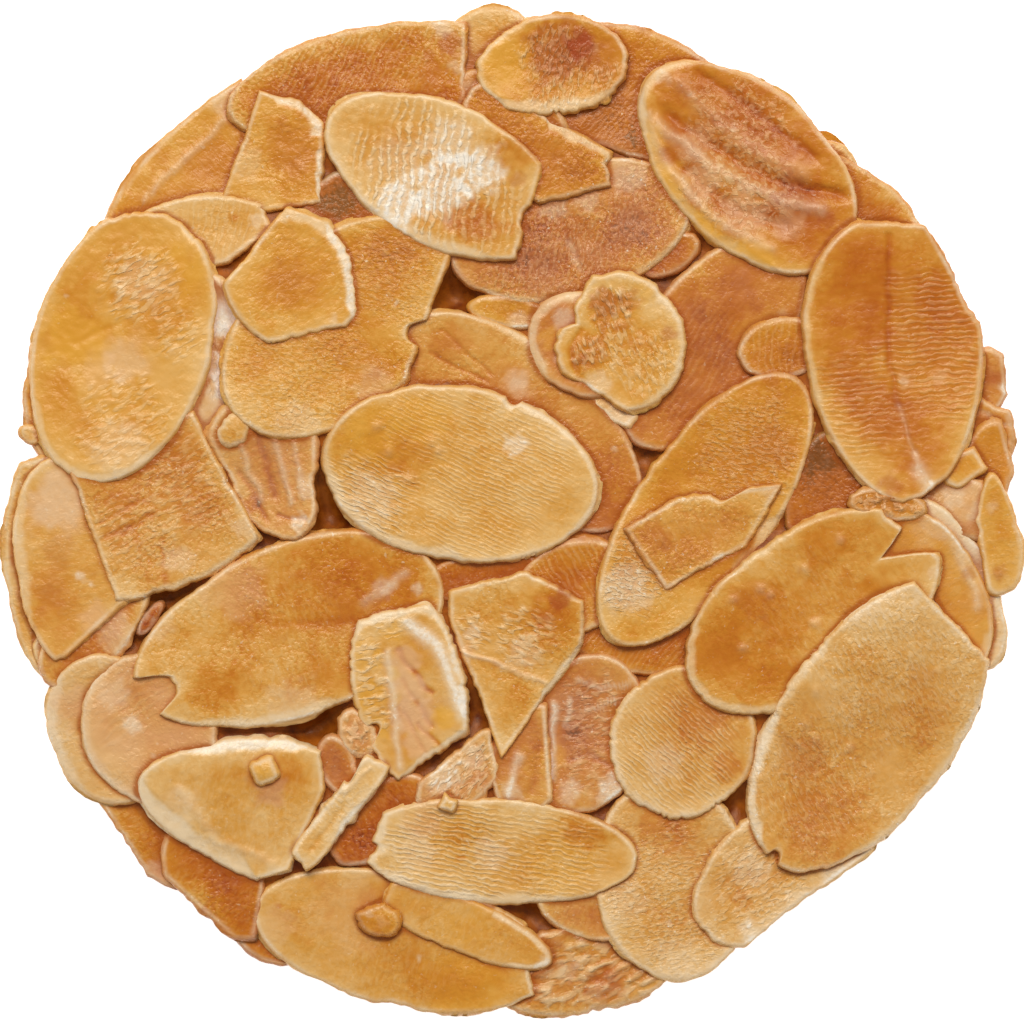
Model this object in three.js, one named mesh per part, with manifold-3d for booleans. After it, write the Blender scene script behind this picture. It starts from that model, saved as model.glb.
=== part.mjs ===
// An almond tuile: a round biscuit of overlapping sliced almonds, baked together in a thin sheet of caramel.
// Millimetres, +Z up. The flat underside lies on Z = 0 and the middle of the round is the origin.
import * as THREE from "three";
import { mergeVertices } from "three/addons/utils/BufferGeometryUtils.js";
import Module from "manifold-3d";

// Caramel sheet that the slices lie in.
const SHEET_RADIUS = 38.6;
const SHEET_WAVE = 0.5;
const SHEET_WAVES_ROUND = 7;
const SHEET_THICK = 1.2;
const SHEET_EDGE = 0.4;
const SHEET_POINTS = 48;

// Almond slices.
const SLICE_THICK = 1;
const OUTLINE_POINTS = 24;
const BED_LEVEL = 0.9; // the height in the soft sheet that the lowest slices sank to
const PRESS = 0.5; // how deep a slice is stuck into the highest point under it
const LOWEST = 0.2; // no slice comes nearer to the underside than this
const STEEPEST = 0.16; // rise over run
const FLAT_BELOW = 14; // a piece over fewer map squares than this lies level

// Map of the heights that the next slice comes to rest on.
const MAP_STEP = 1;
const MAP_REACH = 43;
const MAP_SIDE = (2 * MAP_REACH) / MAP_STEP;

// How the plane under a slice is found: points under the plane barely count.
const FIT_PASSES = 24;
const FIT_BELOW = 0.02;

const ALMOND_COLOUR = 0xc98f4a;
const ALMOND_ROUGHNESS = 0.45;

// One slice: its middle, its length and width, the bearing of its narrow end in degrees, and its marks.
// tip narrows that end, snaps are straight breaks [bearing, distance], nicks are notches [bearing, depth].
function slice(x, y, long, wide, turn, { tip = 0, snaps = [], nicks = [], thick = SLICE_THICK } = {}) {
  return { x, y, long, wide, turn: THREE.MathUtils.degToRad(turn), tip, snaps, nicks, thick };
}

// The slices in the order they lie, the lowest first.
const SLICES = [
  // Rim and floor
  slice(9.5, 33.7, 19, 10.4, -19),
  slice(-1.6, 35.8, 9.5, 8.6, 80),
  slice(25.2, 26.9, 6, 5, 60),
  slice(27.4, 22.6, 16, 9, -44),
  slice(-24.6, 26.8, 24, 9.4, 45, { snaps: [[20, 5.4]] }),
  slice(-13.2, 25, 8, 5, 20),
  slice(-25.3, 12.3, 14, 7, 86),
  slice(-33.5, 9.8, 17, 11.4, 92),
  slice(-39.2, 6.2, 2.4, 1.6, 160),
  slice(-35.8, -3.8, 21, 9.8, 92, { snaps: [[105, 8.4]] }),
  slice(-34.6, -12, 8, 5, 150),
  slice(-19.3, -33, 8, 6, -38),
  slice(-28.8, -24.8, 12, 7, -57, { snaps: [[212, 2.7]] }),
  slice(5.6, -36.6, 16, 7.6, 8),
  slice(37.1, 7.3, 12.6, 6, 86),
  slice(37.7, 3.6, 9, 5, 75),
  slice(25.3, 1.6, 11, 7, 72),
  slice(-0.2, 16, 6.8, 2.8, -8),
  slice(9.4, -9.2, 13.5, 7.4, -17),
  slice(-2, -5.2, 10, 4.6, 6),
  slice(5.6, -17.8, 13.5, 10.5, 70),
  slice(0, 32.2, 10, 5, -30),
  slice(-28.8, -8.5, 3.6, 1.4, 55),
  // Second layer
  slice(12.6, 20.6, 5.5, 3.2, 30),
  slice(4.7, 22.6, 20, 11.4, 15),
  slice(16, 13.6, 20.5, 11, 52),
  slice(0.6, 7.2, 24, 12, -40),
  slice(-33.2, -8.7, 13, 6.4, 54),
  slice(-35.2, -4.1, 17.5, 9.2, 98, { snaps: [[-47, 5.3]] }),
  slice(-32.2, -17.3, 12.4, 9.8, 108),
  slice(-28.9, -17.4, 12.6, 10.8, 110),
  slice(-22.8, -29, 12, 9, -45, { snaps: [[228, 3.5]] }),
  slice(34.6, -5.8, 15.4, 8, -62),
  slice(33.4, -6, 15, 8, -61),
  slice(38.6, -1.8, 10, 4, 95),
  slice(36.1, 3.6, 4, 3.2, 30),
  slice(30, 0.7, 6, 2.6, -5),
  slice(5, -6, 10, 7.6, 20),
  slice(1.4, -19.8, 9.4, 5.5, 76),
  slice(-3.7, -20.8, 8.5, 5.6, 35),
  slice(-12.6, -17.6, 4.2, 3.4, 40),
  slice(-14.4, -19.6, 4.6, 4, 100),
  slice(8.6, 8.3, 5, 2.2, -33),
  slice(5.8, 12.6, 9, 6.6, 140),
  slice(21.6, 13, 7.4, 5.2, 10),
  slice(5.6, -32, 8, 4.2, -22),
  // Third layer
  slice(-11.5, 34.5, 23.2, 8.9, 192, { snaps: [[0, 7.9]] }),
  slice(-17.8, -9.6, 26, 14, 201, { tip: 0.08, nicks: [[207, 2.4]] }),
  slice(-19.2, 3.6, 12.5, 9, -72, { tip: 0.3, snaps: [[0, 3.7], [205, 3.6]] }),
  slice(-22.2, 6.6, 2.8, 2.6, 0),
  slice(-13.8, 14.8, 22, 14, 222, { snaps: [[-19, 6.6]] }),
  slice(-18.8, 29.2, 14, 12, 105, { snaps: [[161, 2.9], [77, 4.2], [45, 4.1], [0, 3.8], [-85, 5.1]] }),
  slice(-24, 22.5, 13, 5.8, 180, { snaps: [[-53, 2.9], [15, 4.7]] }),
  slice(-17.2, 19, 10.8, 9.8, 120, { snaps: [[141, 3.8]] }),
  slice(2.6, 29.3, 15, 9, -35, { snaps: [[61, 2.2], [0, 5.4], [-75, 4.6]] }),
  slice(13, -30.6, 14, 12.2, 100),
  slice(21.8, -28.4, 17, 10, 217, { snaps: [[-53, 3.3]] }),
  slice(15.4, 0.2, 25.8, 11.2, 235),
  slice(14.8, -1.4, 18, 12, 30, { snaps: [[214, 4.9], [120, 3.1], [98, 2.8], [-61, 2.9], [-30, 3.8]] }),
  slice(13.6, -18.4, 12.6, 11.8, 60),
  slice(23.9, -7.9, 22.8, 13.4, 33, { nicks: [[38, 2.2]] }),
  slice(-8.8, -34.3, 24.4, 10.9, -13),
  slice(9, 13.7, 12, 11.4, -60, { snaps: [[120, 4.9], [239, 4.2]] }),
  slice(-27.8, 0.5, 22, 13.4, 25, { snaps: [[200, 6.1], [27.5, 5.7]] }),
  // Top layer
  slice(-8.2, -14, 17, 9.2, -78, { snaps: [[-54, 5.7], [100, 6.4]] }),
  slice(0.3, -11, 19, 14, -95, {
    snaps: [[105, 6], [64, 6.1], [180, 5.4], [201, 4.2], [0, 5.6], [-20, 5], [-37, 4.3]],
  }),
  slice(-5.7, 27, 20.3, 11.6, 153, { tip: 0.08, snaps: [[-16, 7.7]] }),
  slice(3.2, 35.8, 12.6, 8.4, 8),
  slice(18.7, 27.7, 21.3, 12.9, 136, { tip: 0.06, thick: 1.6 }),
  slice(30.5, 12.2, 23.2, 14.4, -85, { tip: 0.15, snaps: [[30, 7.7]] }),
  slice(-31.1, 13.2, 22.6, 14.4, 254, { tip: 0.05 }),
  slice(-4.1, 3, 22.4, 14.2, -9, { tip: 0.04 }),
  slice(27.8, -17.9, 25, 14.6, 55, { snaps: [[45, 11.6]] }),
  slice(-0.8, -26.9, 21.5, 8.6, -4, { snaps: [[158, 9.9]] }),
  slice(-20.8, -23.4, 18.5, 11.4, 168, { tip: 0.3, snaps: [[3, 6], [90, 5.5]], thick: 1.5 }),
  slice(-13.7, -23.8, 13, 3.4, 52, { snaps: [[52, 5.3], [232, 5.3], [142, 1.3], [-38, 1.3]], thick: 1.5 }),
  // Crumbs
  slice(-19.7, -20.6, 3, 2.6, 20, { snaps: [[20, 1], [110, 1], [200, 1], [290, 1]] }),
  slice(-10.6, -32.5, 3.4, 2.7, -15),
  slice(-5.1, -23.3, 1.8, 1.5, 80),
];

const wasm = await Module();
wasm.setup();

function direction(bearing) {
  const angle = THREE.MathUtils.degToRad(bearing);
  return new THREE.Vector2(Math.cos(angle), Math.sin(angle));
}

// The points of a closed outline that lie within a straight break.
function snapOff(points, [bearing, distance]) {
  const away = direction(bearing);
  const kept = [];
  points.forEach((point, i) => {
    const next = points[(i + 1) % points.length];
    const room = distance - point.dot(away);
    const nextRoom = distance - next.dot(away);
    if (room >= 0) kept.push(point);
    if (room * nextRoom < 0) kept.push(point.clone().lerp(next, room / (room - nextRoom)));
  });
  return kept;
}

// Pulls the one point nearest to the bearing towards the middle.
function nickOut(points, [bearing, depth]) {
  const away = direction(bearing);
  const facing = points.map((point) => point.dot(away) / point.length());
  const nearest = facing.indexOf(Math.max(...facing));
  return points.map((point, i) => (i === nearest ? point.clone().setLength(point.length() - depth) : point));
}

// A slice's outline about its own middle: an oval with one narrower end, then its notches and breaks.
function outlineOf({ long, wide, turn, tip, snaps, nicks }) {
  const oval = Array.from({ length: OUTLINE_POINTS }, (_, i) => {
    const t = (2 * Math.PI * i) / OUTLINE_POINTS;
    const half = (wide / 2) * (1 - tip * Math.cos(t));
    const point = new THREE.Vector2((long / 2) * Math.cos(t), half * Math.sin(t));
    return point.rotateAround(new THREE.Vector2(), turn);
  });
  return snaps.reduce(snapOff, nicks.reduce(nickOut, oval));
}

function isInside(points, x, y) {
  let inside = false;
  points.forEach((a, i) => {
    const b = points[(i + 1) % points.length];
    const crosses = a.y > y !== b.y > y;
    if (crosses && x < a.x + ((y - a.y) / (b.y - a.y)) * (b.x - a.x)) inside = !inside;
  });
  return inside;
}

function mapPlace(column) {
  return -MAP_REACH + (column + 0.5) * MAP_STEP;
}

function bedMap() {
  const heights = new Float64Array(MAP_SIDE * MAP_SIDE);
  heights.forEach((_, i) => {
    const radius = Math.hypot(mapPlace(i % MAP_SIDE), mapPlace(Math.floor(i / MAP_SIDE)));
    heights[i] = radius < SHEET_RADIUS ? BED_LEVEL : 0;
  });
  return heights;
}

// The map squares under a slice, each with its place from the slice's middle.
function squaresUnder(points, { x, y }) {
  const squares = [];
  for (let row = 0; row < MAP_SIDE; row += 1) {
    for (let column = 0; column < MAP_SIDE; column += 1) {
      const dx = mapPlace(column) - x;
      const dy = mapPlace(row) - y;
      if (isInside(points, dx, dy)) squares.push({ index: row * MAP_SIDE + column, dx, dy });
    }
  }
  return squares;
}

// The plane that rests on the high points: heights over the plane pull it up, those under it hardly count.
function restingPlane(squares, heights) {
  const plane = new THREE.Vector3();
  if (squares.length < FLAT_BELOW) return plane;
  for (let pass = 0; pass < FIT_PASSES; pass += 1) {
    const sums = new THREE.Matrix3().set(0, 0, 0, 0, 0, 0, 0, 0, 0);
    const right = new THREE.Vector3();
    squares.forEach(({ index, dx, dy }) => {
      const over = heights[index] - (plane.x * dx + plane.y * dy + plane.z);
      const weight = over > 0 || pass === 0 ? 1 : FIT_BELOW;
      const row = [dx, dy, 1];
      row.forEach((a, i) => row.forEach((b, j) => (sums.elements[3 * j + i] += weight * a * b)));
      right.add(new THREE.Vector3(...row).multiplyScalar(weight * heights[index]));
    });
    plane.copy(right.applyMatrix3(sums.invert()));
  }
  const slope = Math.hypot(plane.x, plane.y);
  const eased = Math.min(1, STEEPEST / slope);
  return plane.set(plane.x * eased, plane.y * eased, 0);
}

// Lowers a slice onto the heights under it, marks its top on the map and returns the plane of its lower face.
function settle(item, points, heights) {
  const squares = squaresUnder(points, item);
  const plane = restingPlane(squares, heights);
  const rise = (dx, dy) => plane.x * dx + plane.y * dy;
  const touch = Math.max(...squares.map(({ index, dx, dy }) => heights[index] - rise(dx, dy)), BED_LEVEL);
  const clear = Math.max(...points.map((point) => LOWEST - rise(point.x, point.y)));
  plane.z = Math.max(touch - PRESS, clear);
  squares.forEach(({ index, dx, dy }) => {
    heights[index] = Math.max(heights[index], rise(dx, dy) + plane.z + item.thick);
  });
  return plane;
}

function solidOf(geometry) {
  geometry.deleteAttribute("normal");
  geometry.deleteAttribute("uv");
  const merged = mergeVertices(geometry);
  const vertProperties = merged.attributes.position.array;
  const triVerts = new Uint32Array(merged.index.array);
  return new wasm.Manifold(new wasm.Mesh({ numProp: 3, vertProperties, triVerts }));
}

function caramelSheet() {
  const rim = Array.from({ length: SHEET_POINTS }, (_, i) => {
    const angle = (2 * Math.PI * i) / SHEET_POINTS;
    const radius = SHEET_RADIUS + SHEET_WAVE * Math.sin(SHEET_WAVES_ROUND * angle);
    return new THREE.Vector2(radius * Math.cos(angle), radius * Math.sin(angle));
  });
  const sheet = new THREE.ExtrudeGeometry(new THREE.Shape(rim), {
    depth: SHEET_THICK - 2 * SHEET_EDGE,
    bevelThickness: SHEET_EDGE,
    bevelSize: SHEET_EDGE,
    bevelOffset: -SHEET_EDGE,
    bevelSegments: 1,
  });
  return solidOf(sheet.translate(0, 0, SHEET_EDGE));
}

// A slice as a plate of even thickness, sheared so that its faces follow the plane it rests on.
function plate(item, heights) {
  const points = outlineOf(item);
  const plane = settle(item, points, heights);
  const flat = new THREE.ExtrudeGeometry(new THREE.Shape(points), { depth: item.thick, bevelEnabled: false });
  const lean = new THREE.Matrix4().set(1, 0, 0, item.x, 0, 1, 0, item.y, plane.x, plane.y, 1, plane.z, 0, 0, 0, 1);
  return solidOf(flat.applyMatrix4(lean));
}

// All slices and the sheet as one body, without the hollows that joining seals.
function fusedBody() {
  const heights = bedMap();
  const whole = SLICES.reduce((body, item) => body.add(plate(item, heights)), caramelSheet());
  const bodies = whole.decompose();
  return bodies.reduce((largest, body) => (body.volume() > largest.volume() ? body : largest));
}

function geometryOf(solid) {
  const { vertProperties, triVerts } = solid.getMesh();
  const geometry = new THREE.BufferGeometry();
  geometry.setAttribute("position", new THREE.BufferAttribute(vertProperties, 3));
  geometry.setIndex(new THREE.BufferAttribute(triVerts, 1));
  geometry.computeVertexNormals();
  return geometry;
}

const almond = new THREE.MeshStandardMaterial({ color: ALMOND_COLOUR, roughness: ALMOND_ROUGHNESS, metalness: 0 });
const tuile = new THREE.Mesh(geometryOf(fusedBody()), almond);
tuile.name = "almond_tuile";

const part = new THREE.Group();
part.add(tuile);

export default part;
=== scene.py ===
"""An almond tuile: overlapping toasted almond slices set in caramel, seen from straight above.

Sizes are in millimetres until a mesh is made, and bearings are degrees from +X towards +Y.
"""
import math

import bpy
import numpy as np
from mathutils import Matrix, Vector


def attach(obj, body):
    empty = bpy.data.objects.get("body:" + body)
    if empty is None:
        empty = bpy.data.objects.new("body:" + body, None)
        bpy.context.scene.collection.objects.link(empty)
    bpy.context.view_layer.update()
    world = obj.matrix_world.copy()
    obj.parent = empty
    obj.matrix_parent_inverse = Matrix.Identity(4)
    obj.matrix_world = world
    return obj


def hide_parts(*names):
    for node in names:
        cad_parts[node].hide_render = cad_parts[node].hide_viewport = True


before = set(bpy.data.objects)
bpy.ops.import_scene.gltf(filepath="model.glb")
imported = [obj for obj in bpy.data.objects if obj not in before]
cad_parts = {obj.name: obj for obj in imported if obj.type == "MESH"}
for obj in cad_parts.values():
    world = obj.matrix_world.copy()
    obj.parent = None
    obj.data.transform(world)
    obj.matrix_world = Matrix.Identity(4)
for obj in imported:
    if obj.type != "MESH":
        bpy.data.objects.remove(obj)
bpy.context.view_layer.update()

MM = 0.001

# Smooth random fields: cells before they repeat, shift for each seed, gain, and seeds for each slice.
FIELD_CELLS = 64
FIELD_SHIFT = (0.37, 0.73)
FIELD_GAIN = 1.5
SEEDS_APART = 20

# How the slices rest on each other, by the solid part's rule.
SHEET_RADIUS = 38.6
SLICE_THICK = 1.0
OUTLINE_POINTS = 24
BED_LEVEL = 0.9
PRESS = 0.5
LOWEST = 0.2
STEEPEST = 0.16
FLAT_BELOW = 14
MAP_STEP = 1.0
MAP_REACH = 43.0
FIT_PASSES = 24
FIT_BELOW = 0.02

# How each slice lies as a stiff sheet over those before it.
DRAPE_STEP = 0.5
BED_BLUR = 7.0
BED_RISE = 0.3
SHEET_BLUR = 1.8
SHEET_PASSES = 10
STEP_SHARE = 0.36
LEAST_WEIGHT = 0.01
CLEARANCE = 0.1

# Slice meshes: the cells of each layer from the lowest up, and last those of the crumbs.
CELLS = (0.28, 0.22, 0.18, 0.18, 0.155, 0.155, 0.12)
RIM_CELLS = (0.12, 0.3)
RIM_SHARE = 0.3
FEWEST_CELLS = 4
EDGE_ROUND = 0.45
BROKEN_ROUND = 0.15
BREAK_REACH = 0.05
SIDE_LEVELS = (0.66, 0.33, 0.0)
SIDE_ROUGH = 0.06
SIDE_LUMPS = 0.8

# How a border that is pressed in moves the points behind it.
LEAST_PRESS = 0.01
PRESS_MARGIN = 1.3
PRESS_POWER = 8

# How an outline wanders: the size of its lumps and how far it goes.
FRILL_LUMPS = 1.5
FINE_FRILL_LUMPS = 0.6
FINE_FRILL = 0.6
BROAD_LUMPS = 5
BROAD_FRAY = 0.38
BROAD_WIDTH = 8
BREAK_LUMPS = 0.8
BREAK_FRAY = 0.16
WHOLE = 0.999
TOOTH_WANDER = 0.9
TOOTH_LUMPS = 2.5
TOOTH_GAPS = 1.2
TOOTH_DEPTH = 0.6
FULL_SPREAD = 0.65
BITE_FLARE = 6
LEAST_RADIUS = 0.1

# Kinds of fine relief. Lines are too fine for the mesh, so most of their height is left to the bump.
LINE_SHARE = 0.25
LINE_POWER = 1.5
LINE_GAPS = 0.7
LINE_BENDS = ((0.55, 3.2), (0.25, 1.1))
WORM_WIND = 0.3
WORM_BENDS = 1.3
WORM_STRETCH = 3
WORM_WIDTH = 0.48
LUMP_STRETCH = 1.3
LUMP_WIDTH = 0.6
BEAD_SQUASH = 0.8
BEAD_LEAST = 0.35
PATCH_RAGGED = 0.3
PATCH_FADE = (0.55, 1.1)
# Depth of the relief that colours a crest in full, and that gives full ridges in the bump.
FULL_CREST = 0.1
FULL_RIDGE = 0.08
# How much longer than wide the ridges of each kind of relief are.
STRETCH = dict(lines=3.6, worms=2.2, beads=1.2, lumps=1.1)

# Form of the upper face.
WAVE_LUMPS = 7
COARSE_LUMPS = 1.8
COARSE_LEAST = 0.03
COARSE_GRAIN = 0.06
FINE_LUMPS = 0.6
FINE_HEIGHT = 0.03
CUP_LEVEL = 0.45
RELIEF_BORDER = (0.1, 1.0)
DEEPEST_DIP = 0.3
CREASE_WANDER = 0.25
CREASE_LUMPS = 1.6
DROP_LENGTH = 0.05
# Where the numbers of a crease have its depth and its darkness, which is its tone together with painted
# shade in a fold and a painted highlight on a ridge.
CREASE_DEPTH = 5
CREASE_SHADE_AND_TONE = 6
# Bevelled borders.
BEVEL_DROP = 0.55
BEVEL_WANDER = 0.3
BEVEL_LUMPS = 1.4
BEVEL_LEAST = 0.01

# Colour of the upper face. Borders are (distance in full, distance where it ends, amount).
DEFAULT_TURN = 37
DEFAULT_SLANT = 0.1
GLAZE = 0.09
GLAZE_LUMPS = 5
GLAZE_FRAY = 0.3
GLAZE_FRAY_LUMPS = 0.9
BROAD_MOTTLE = 0.1
BROAD_MOTTLE_LUMPS = 5
FINE_MOTTLE = 0.05
FINE_MOTTLE_LUMPS = 1.6
TOAST_SHIFT = 0.06
CREST_PALER = 0.1
CREST_PALE = 0.16
BURN_COVER = 1.5
PALE_BORDERS = ((0.1, 1.3, 0.1), (0.5, 3.2, 0.1))
PALE_EDGE = (0.3, 0.6)
PALE_EDGE_LEAST = 0.25
PALE_EDGE_PATCHY = 0.3
PALE_EDGE_LUMPS = 2.2
BEVEL_PALE = 0.8
BEVEL_TOAST = 0.04
BEVEL_DROP_TOAST = 0.2
BEVEL_FADE = (0.02, 0.4)
BRINK = (0.06, 0.3)
BRINK_DARK = 0.2
BRINK_COVER = 0.8
SIDE_DARK = 0.2
SIDE_GOLD = 0.4
SIDE_GRAIN = 0.6
SPOT_RAGGED = 0.35
SPOT_FRAY = 0.15
PALE_SPOT_LEAST = 0.7
PALE_SPOT_CREST = 0.4
# Blush and grain: (average share, how much it varies, lump size).
BLUSH_VARIES = (0.8, 0.5, 2.6)
GRAIN_VARIES = (0.75, 0.6, 3)

# Fine map of the heights, for the caramel and for where it pools and shade is painted.
FINE_STEP = 0.25
FINE_POINTS = 96
# Caramel pooled on the slices, together with painted contact shade where they lie under others:
# (reach, depth where it starts, depth where it is full, amount).
POOLS_AND_SHADE = ((0.3, 0.03, 0.24, 1.0), (1.1, 0.06, 0.6, 0.6))
POOL_AND_SHADE_OFF_PALE = 0.5

# Caramel body.
CARAMEL_CELLS = 190
CARAMEL_BLUR = 0.9
CARAMEL_DROP = 0.45
CARAMEL_UNDER = 0.25
CARAMEL_INSET = 0.5
CARAMEL_EDGE = 0.8
CARAMEL_SLUMP = 0.5
CARAMEL_LEAST = 0.5
CARAMEL_BASE = 0.25
CARAMEL_THIN = 0.15
# Its lumps: (size, height, seed).
CARAMEL_LUMPS = ((1.5, 0.06, 5), (0.7, 0.04, 6))
RIM_POINTS = 360
RIM_FROM = 30
RIM_STEP = 0.1
RIM_LEVEL = 0.3

# Slices that show on the underside, in a spiral that turns by so many radians a slice.
UNDER_CELL = 0.55
UNDER_SLICES = 46
UNDER_REACH = 35.0
UNDER_RIM = 39
UNDER_INSIDE = 0.9
UNDER_TURN = 2.4
UNDER_SEED = 11
UNDER_FIRST_FIELD = 500
UNDER_LONG = (15, 22)
UNDER_WIDE = (0.5, 0.62)
UNDER_TOAST = (0.4, 0.7)
UNDER_THICK = 0.6
UNDER_GRAIN = 0.1
UNDER_LEVEL = -0.66
UNDER_STEP = 0.02
UNDER_STEPS = 7

# Picture.
LENS = 120.0
SENSOR = 36.0
PICTURE_WIDTH = 81.92
FOCUS_HEIGHT = 3.0

# Stage, in metres and watts.
CLIP_START = 0.01
FLOOR_SIZE = 3
FLOOR_TONE = (0.96, 0.96, 0.96, 1)
FLOOR_ROUGH = 0.9
FLOOR_GLOSS = 0.1
FLOOR_GLOW = 0.8
WHITE = (1, 1, 1, 1)
SKY_STRENGTH = 0.4
KEY_LAMP = dict(place=(-0.15, 0.66, 0.92), size=0.44, power=8.15)
SPARKLE_LAMP = dict(place=(0.16, 0.26, 0.4), size=0.04, power=0.5)

# Tones of the almond from palest to darkest, as display colours.
TOAST_TONES = (
    (0.0, (230, 200, 156)),
    (0.25, (219, 173, 106)),
    (0.45, (208, 147, 62)),
    (0.6, (195, 120, 29)),
    (0.75, (181, 96, 13)),
    (0.9, (158, 68, 6)),
    (1.0, (98, 34, 8)),
)
PALE_TONE = (235, 214, 182)
WHITE_TONE = (238, 228, 212)
BLUSH_TONE = (219, 168, 120)
GOLD_TONE = (222, 160, 50)
BURNT_TONE = (160, 66, 26)
POOL_AND_SHADE_TONE = (158, 76, 10)
CARAMEL_DARK = (104, 40, 4)
CARAMEL_LIGHT = (176, 96, 20)
NOISE_TWIST = 0.35
ALMOND_GLOSS = 0.4
CARAMEL_GLOSS = 0.25
# Colour of reflected light, as light.
GLOSS_TINT = (1.0, 0.83, 0.64, 1.0)


def almond(name, x, y, long, wide, turn, toast, **marks):
    """One slice: its middle, length, width, the bearing of its narrow end, how dark it is, and its marks.

    Outline: tip narrows one end, frill frays it, snaps are straight breaks (bearing, distance), tears are
    notches (bearing, degrees before it, degrees after it, depth), bites are round pieces broken out
    (x, y, radius) and scallops are toothed borders (bearing, spread, spacing, depth).
    Form: thick is its thickness, cup lifts the border, dome the middle, wave bends the slice, rims are
    bevelled borders (bearing, spread, width, drop, paleness), textures are patches of fine relief (kind,
    bearing, spacing, depth, x, y, reach) and creases are (x, y, to x, to y, width, depth, darkness); the
    darkness is tone together with painted shade in a dip and, below zero, a painted highlight on a ridge.
    Colour: blush is how pink it is, gold how yellow, grain how pebbly, paling how pale its border is, shade
    the bearing in which it darkens, as painted shade together with toast, and by how much, and spots are
    lists of (x, y, reach, amount) by kind.
    """
    row = dict(
        tip=0.0, frill=0.12, snaps=(), tears=(), bites=(), scallops=(),
        thick=SLICE_THICK, cup=0.1, dome=0.0, wave=0.18, rims=(), creases=(),
        textures=(("worms", turn + 90, 0.6, 0.012, x, y, 6.0),),
        blush=0.0, gold=0.0, grain=0.6, paling=1.0, shade=None, spots={},
    )
    row.update(marks)
    row.update(name=name, x=x, y=y, long=long, wide=wide, turn=math.radians(turn), toast=toast)
    return row


def path(points, width, depth, shade_and_tone):
    """Creases along a line of points."""
    return [(*a, *b, width, depth, shade_and_tone) for a, b in zip(points, points[1:])]


def drops(points, size, height, shade_and_tone):
    """Creases that are round lumps of dried caramel."""
    return [(x, y, x + DROP_LENGTH, y, size, -height, shade_and_tone) for x, y in points]


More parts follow.
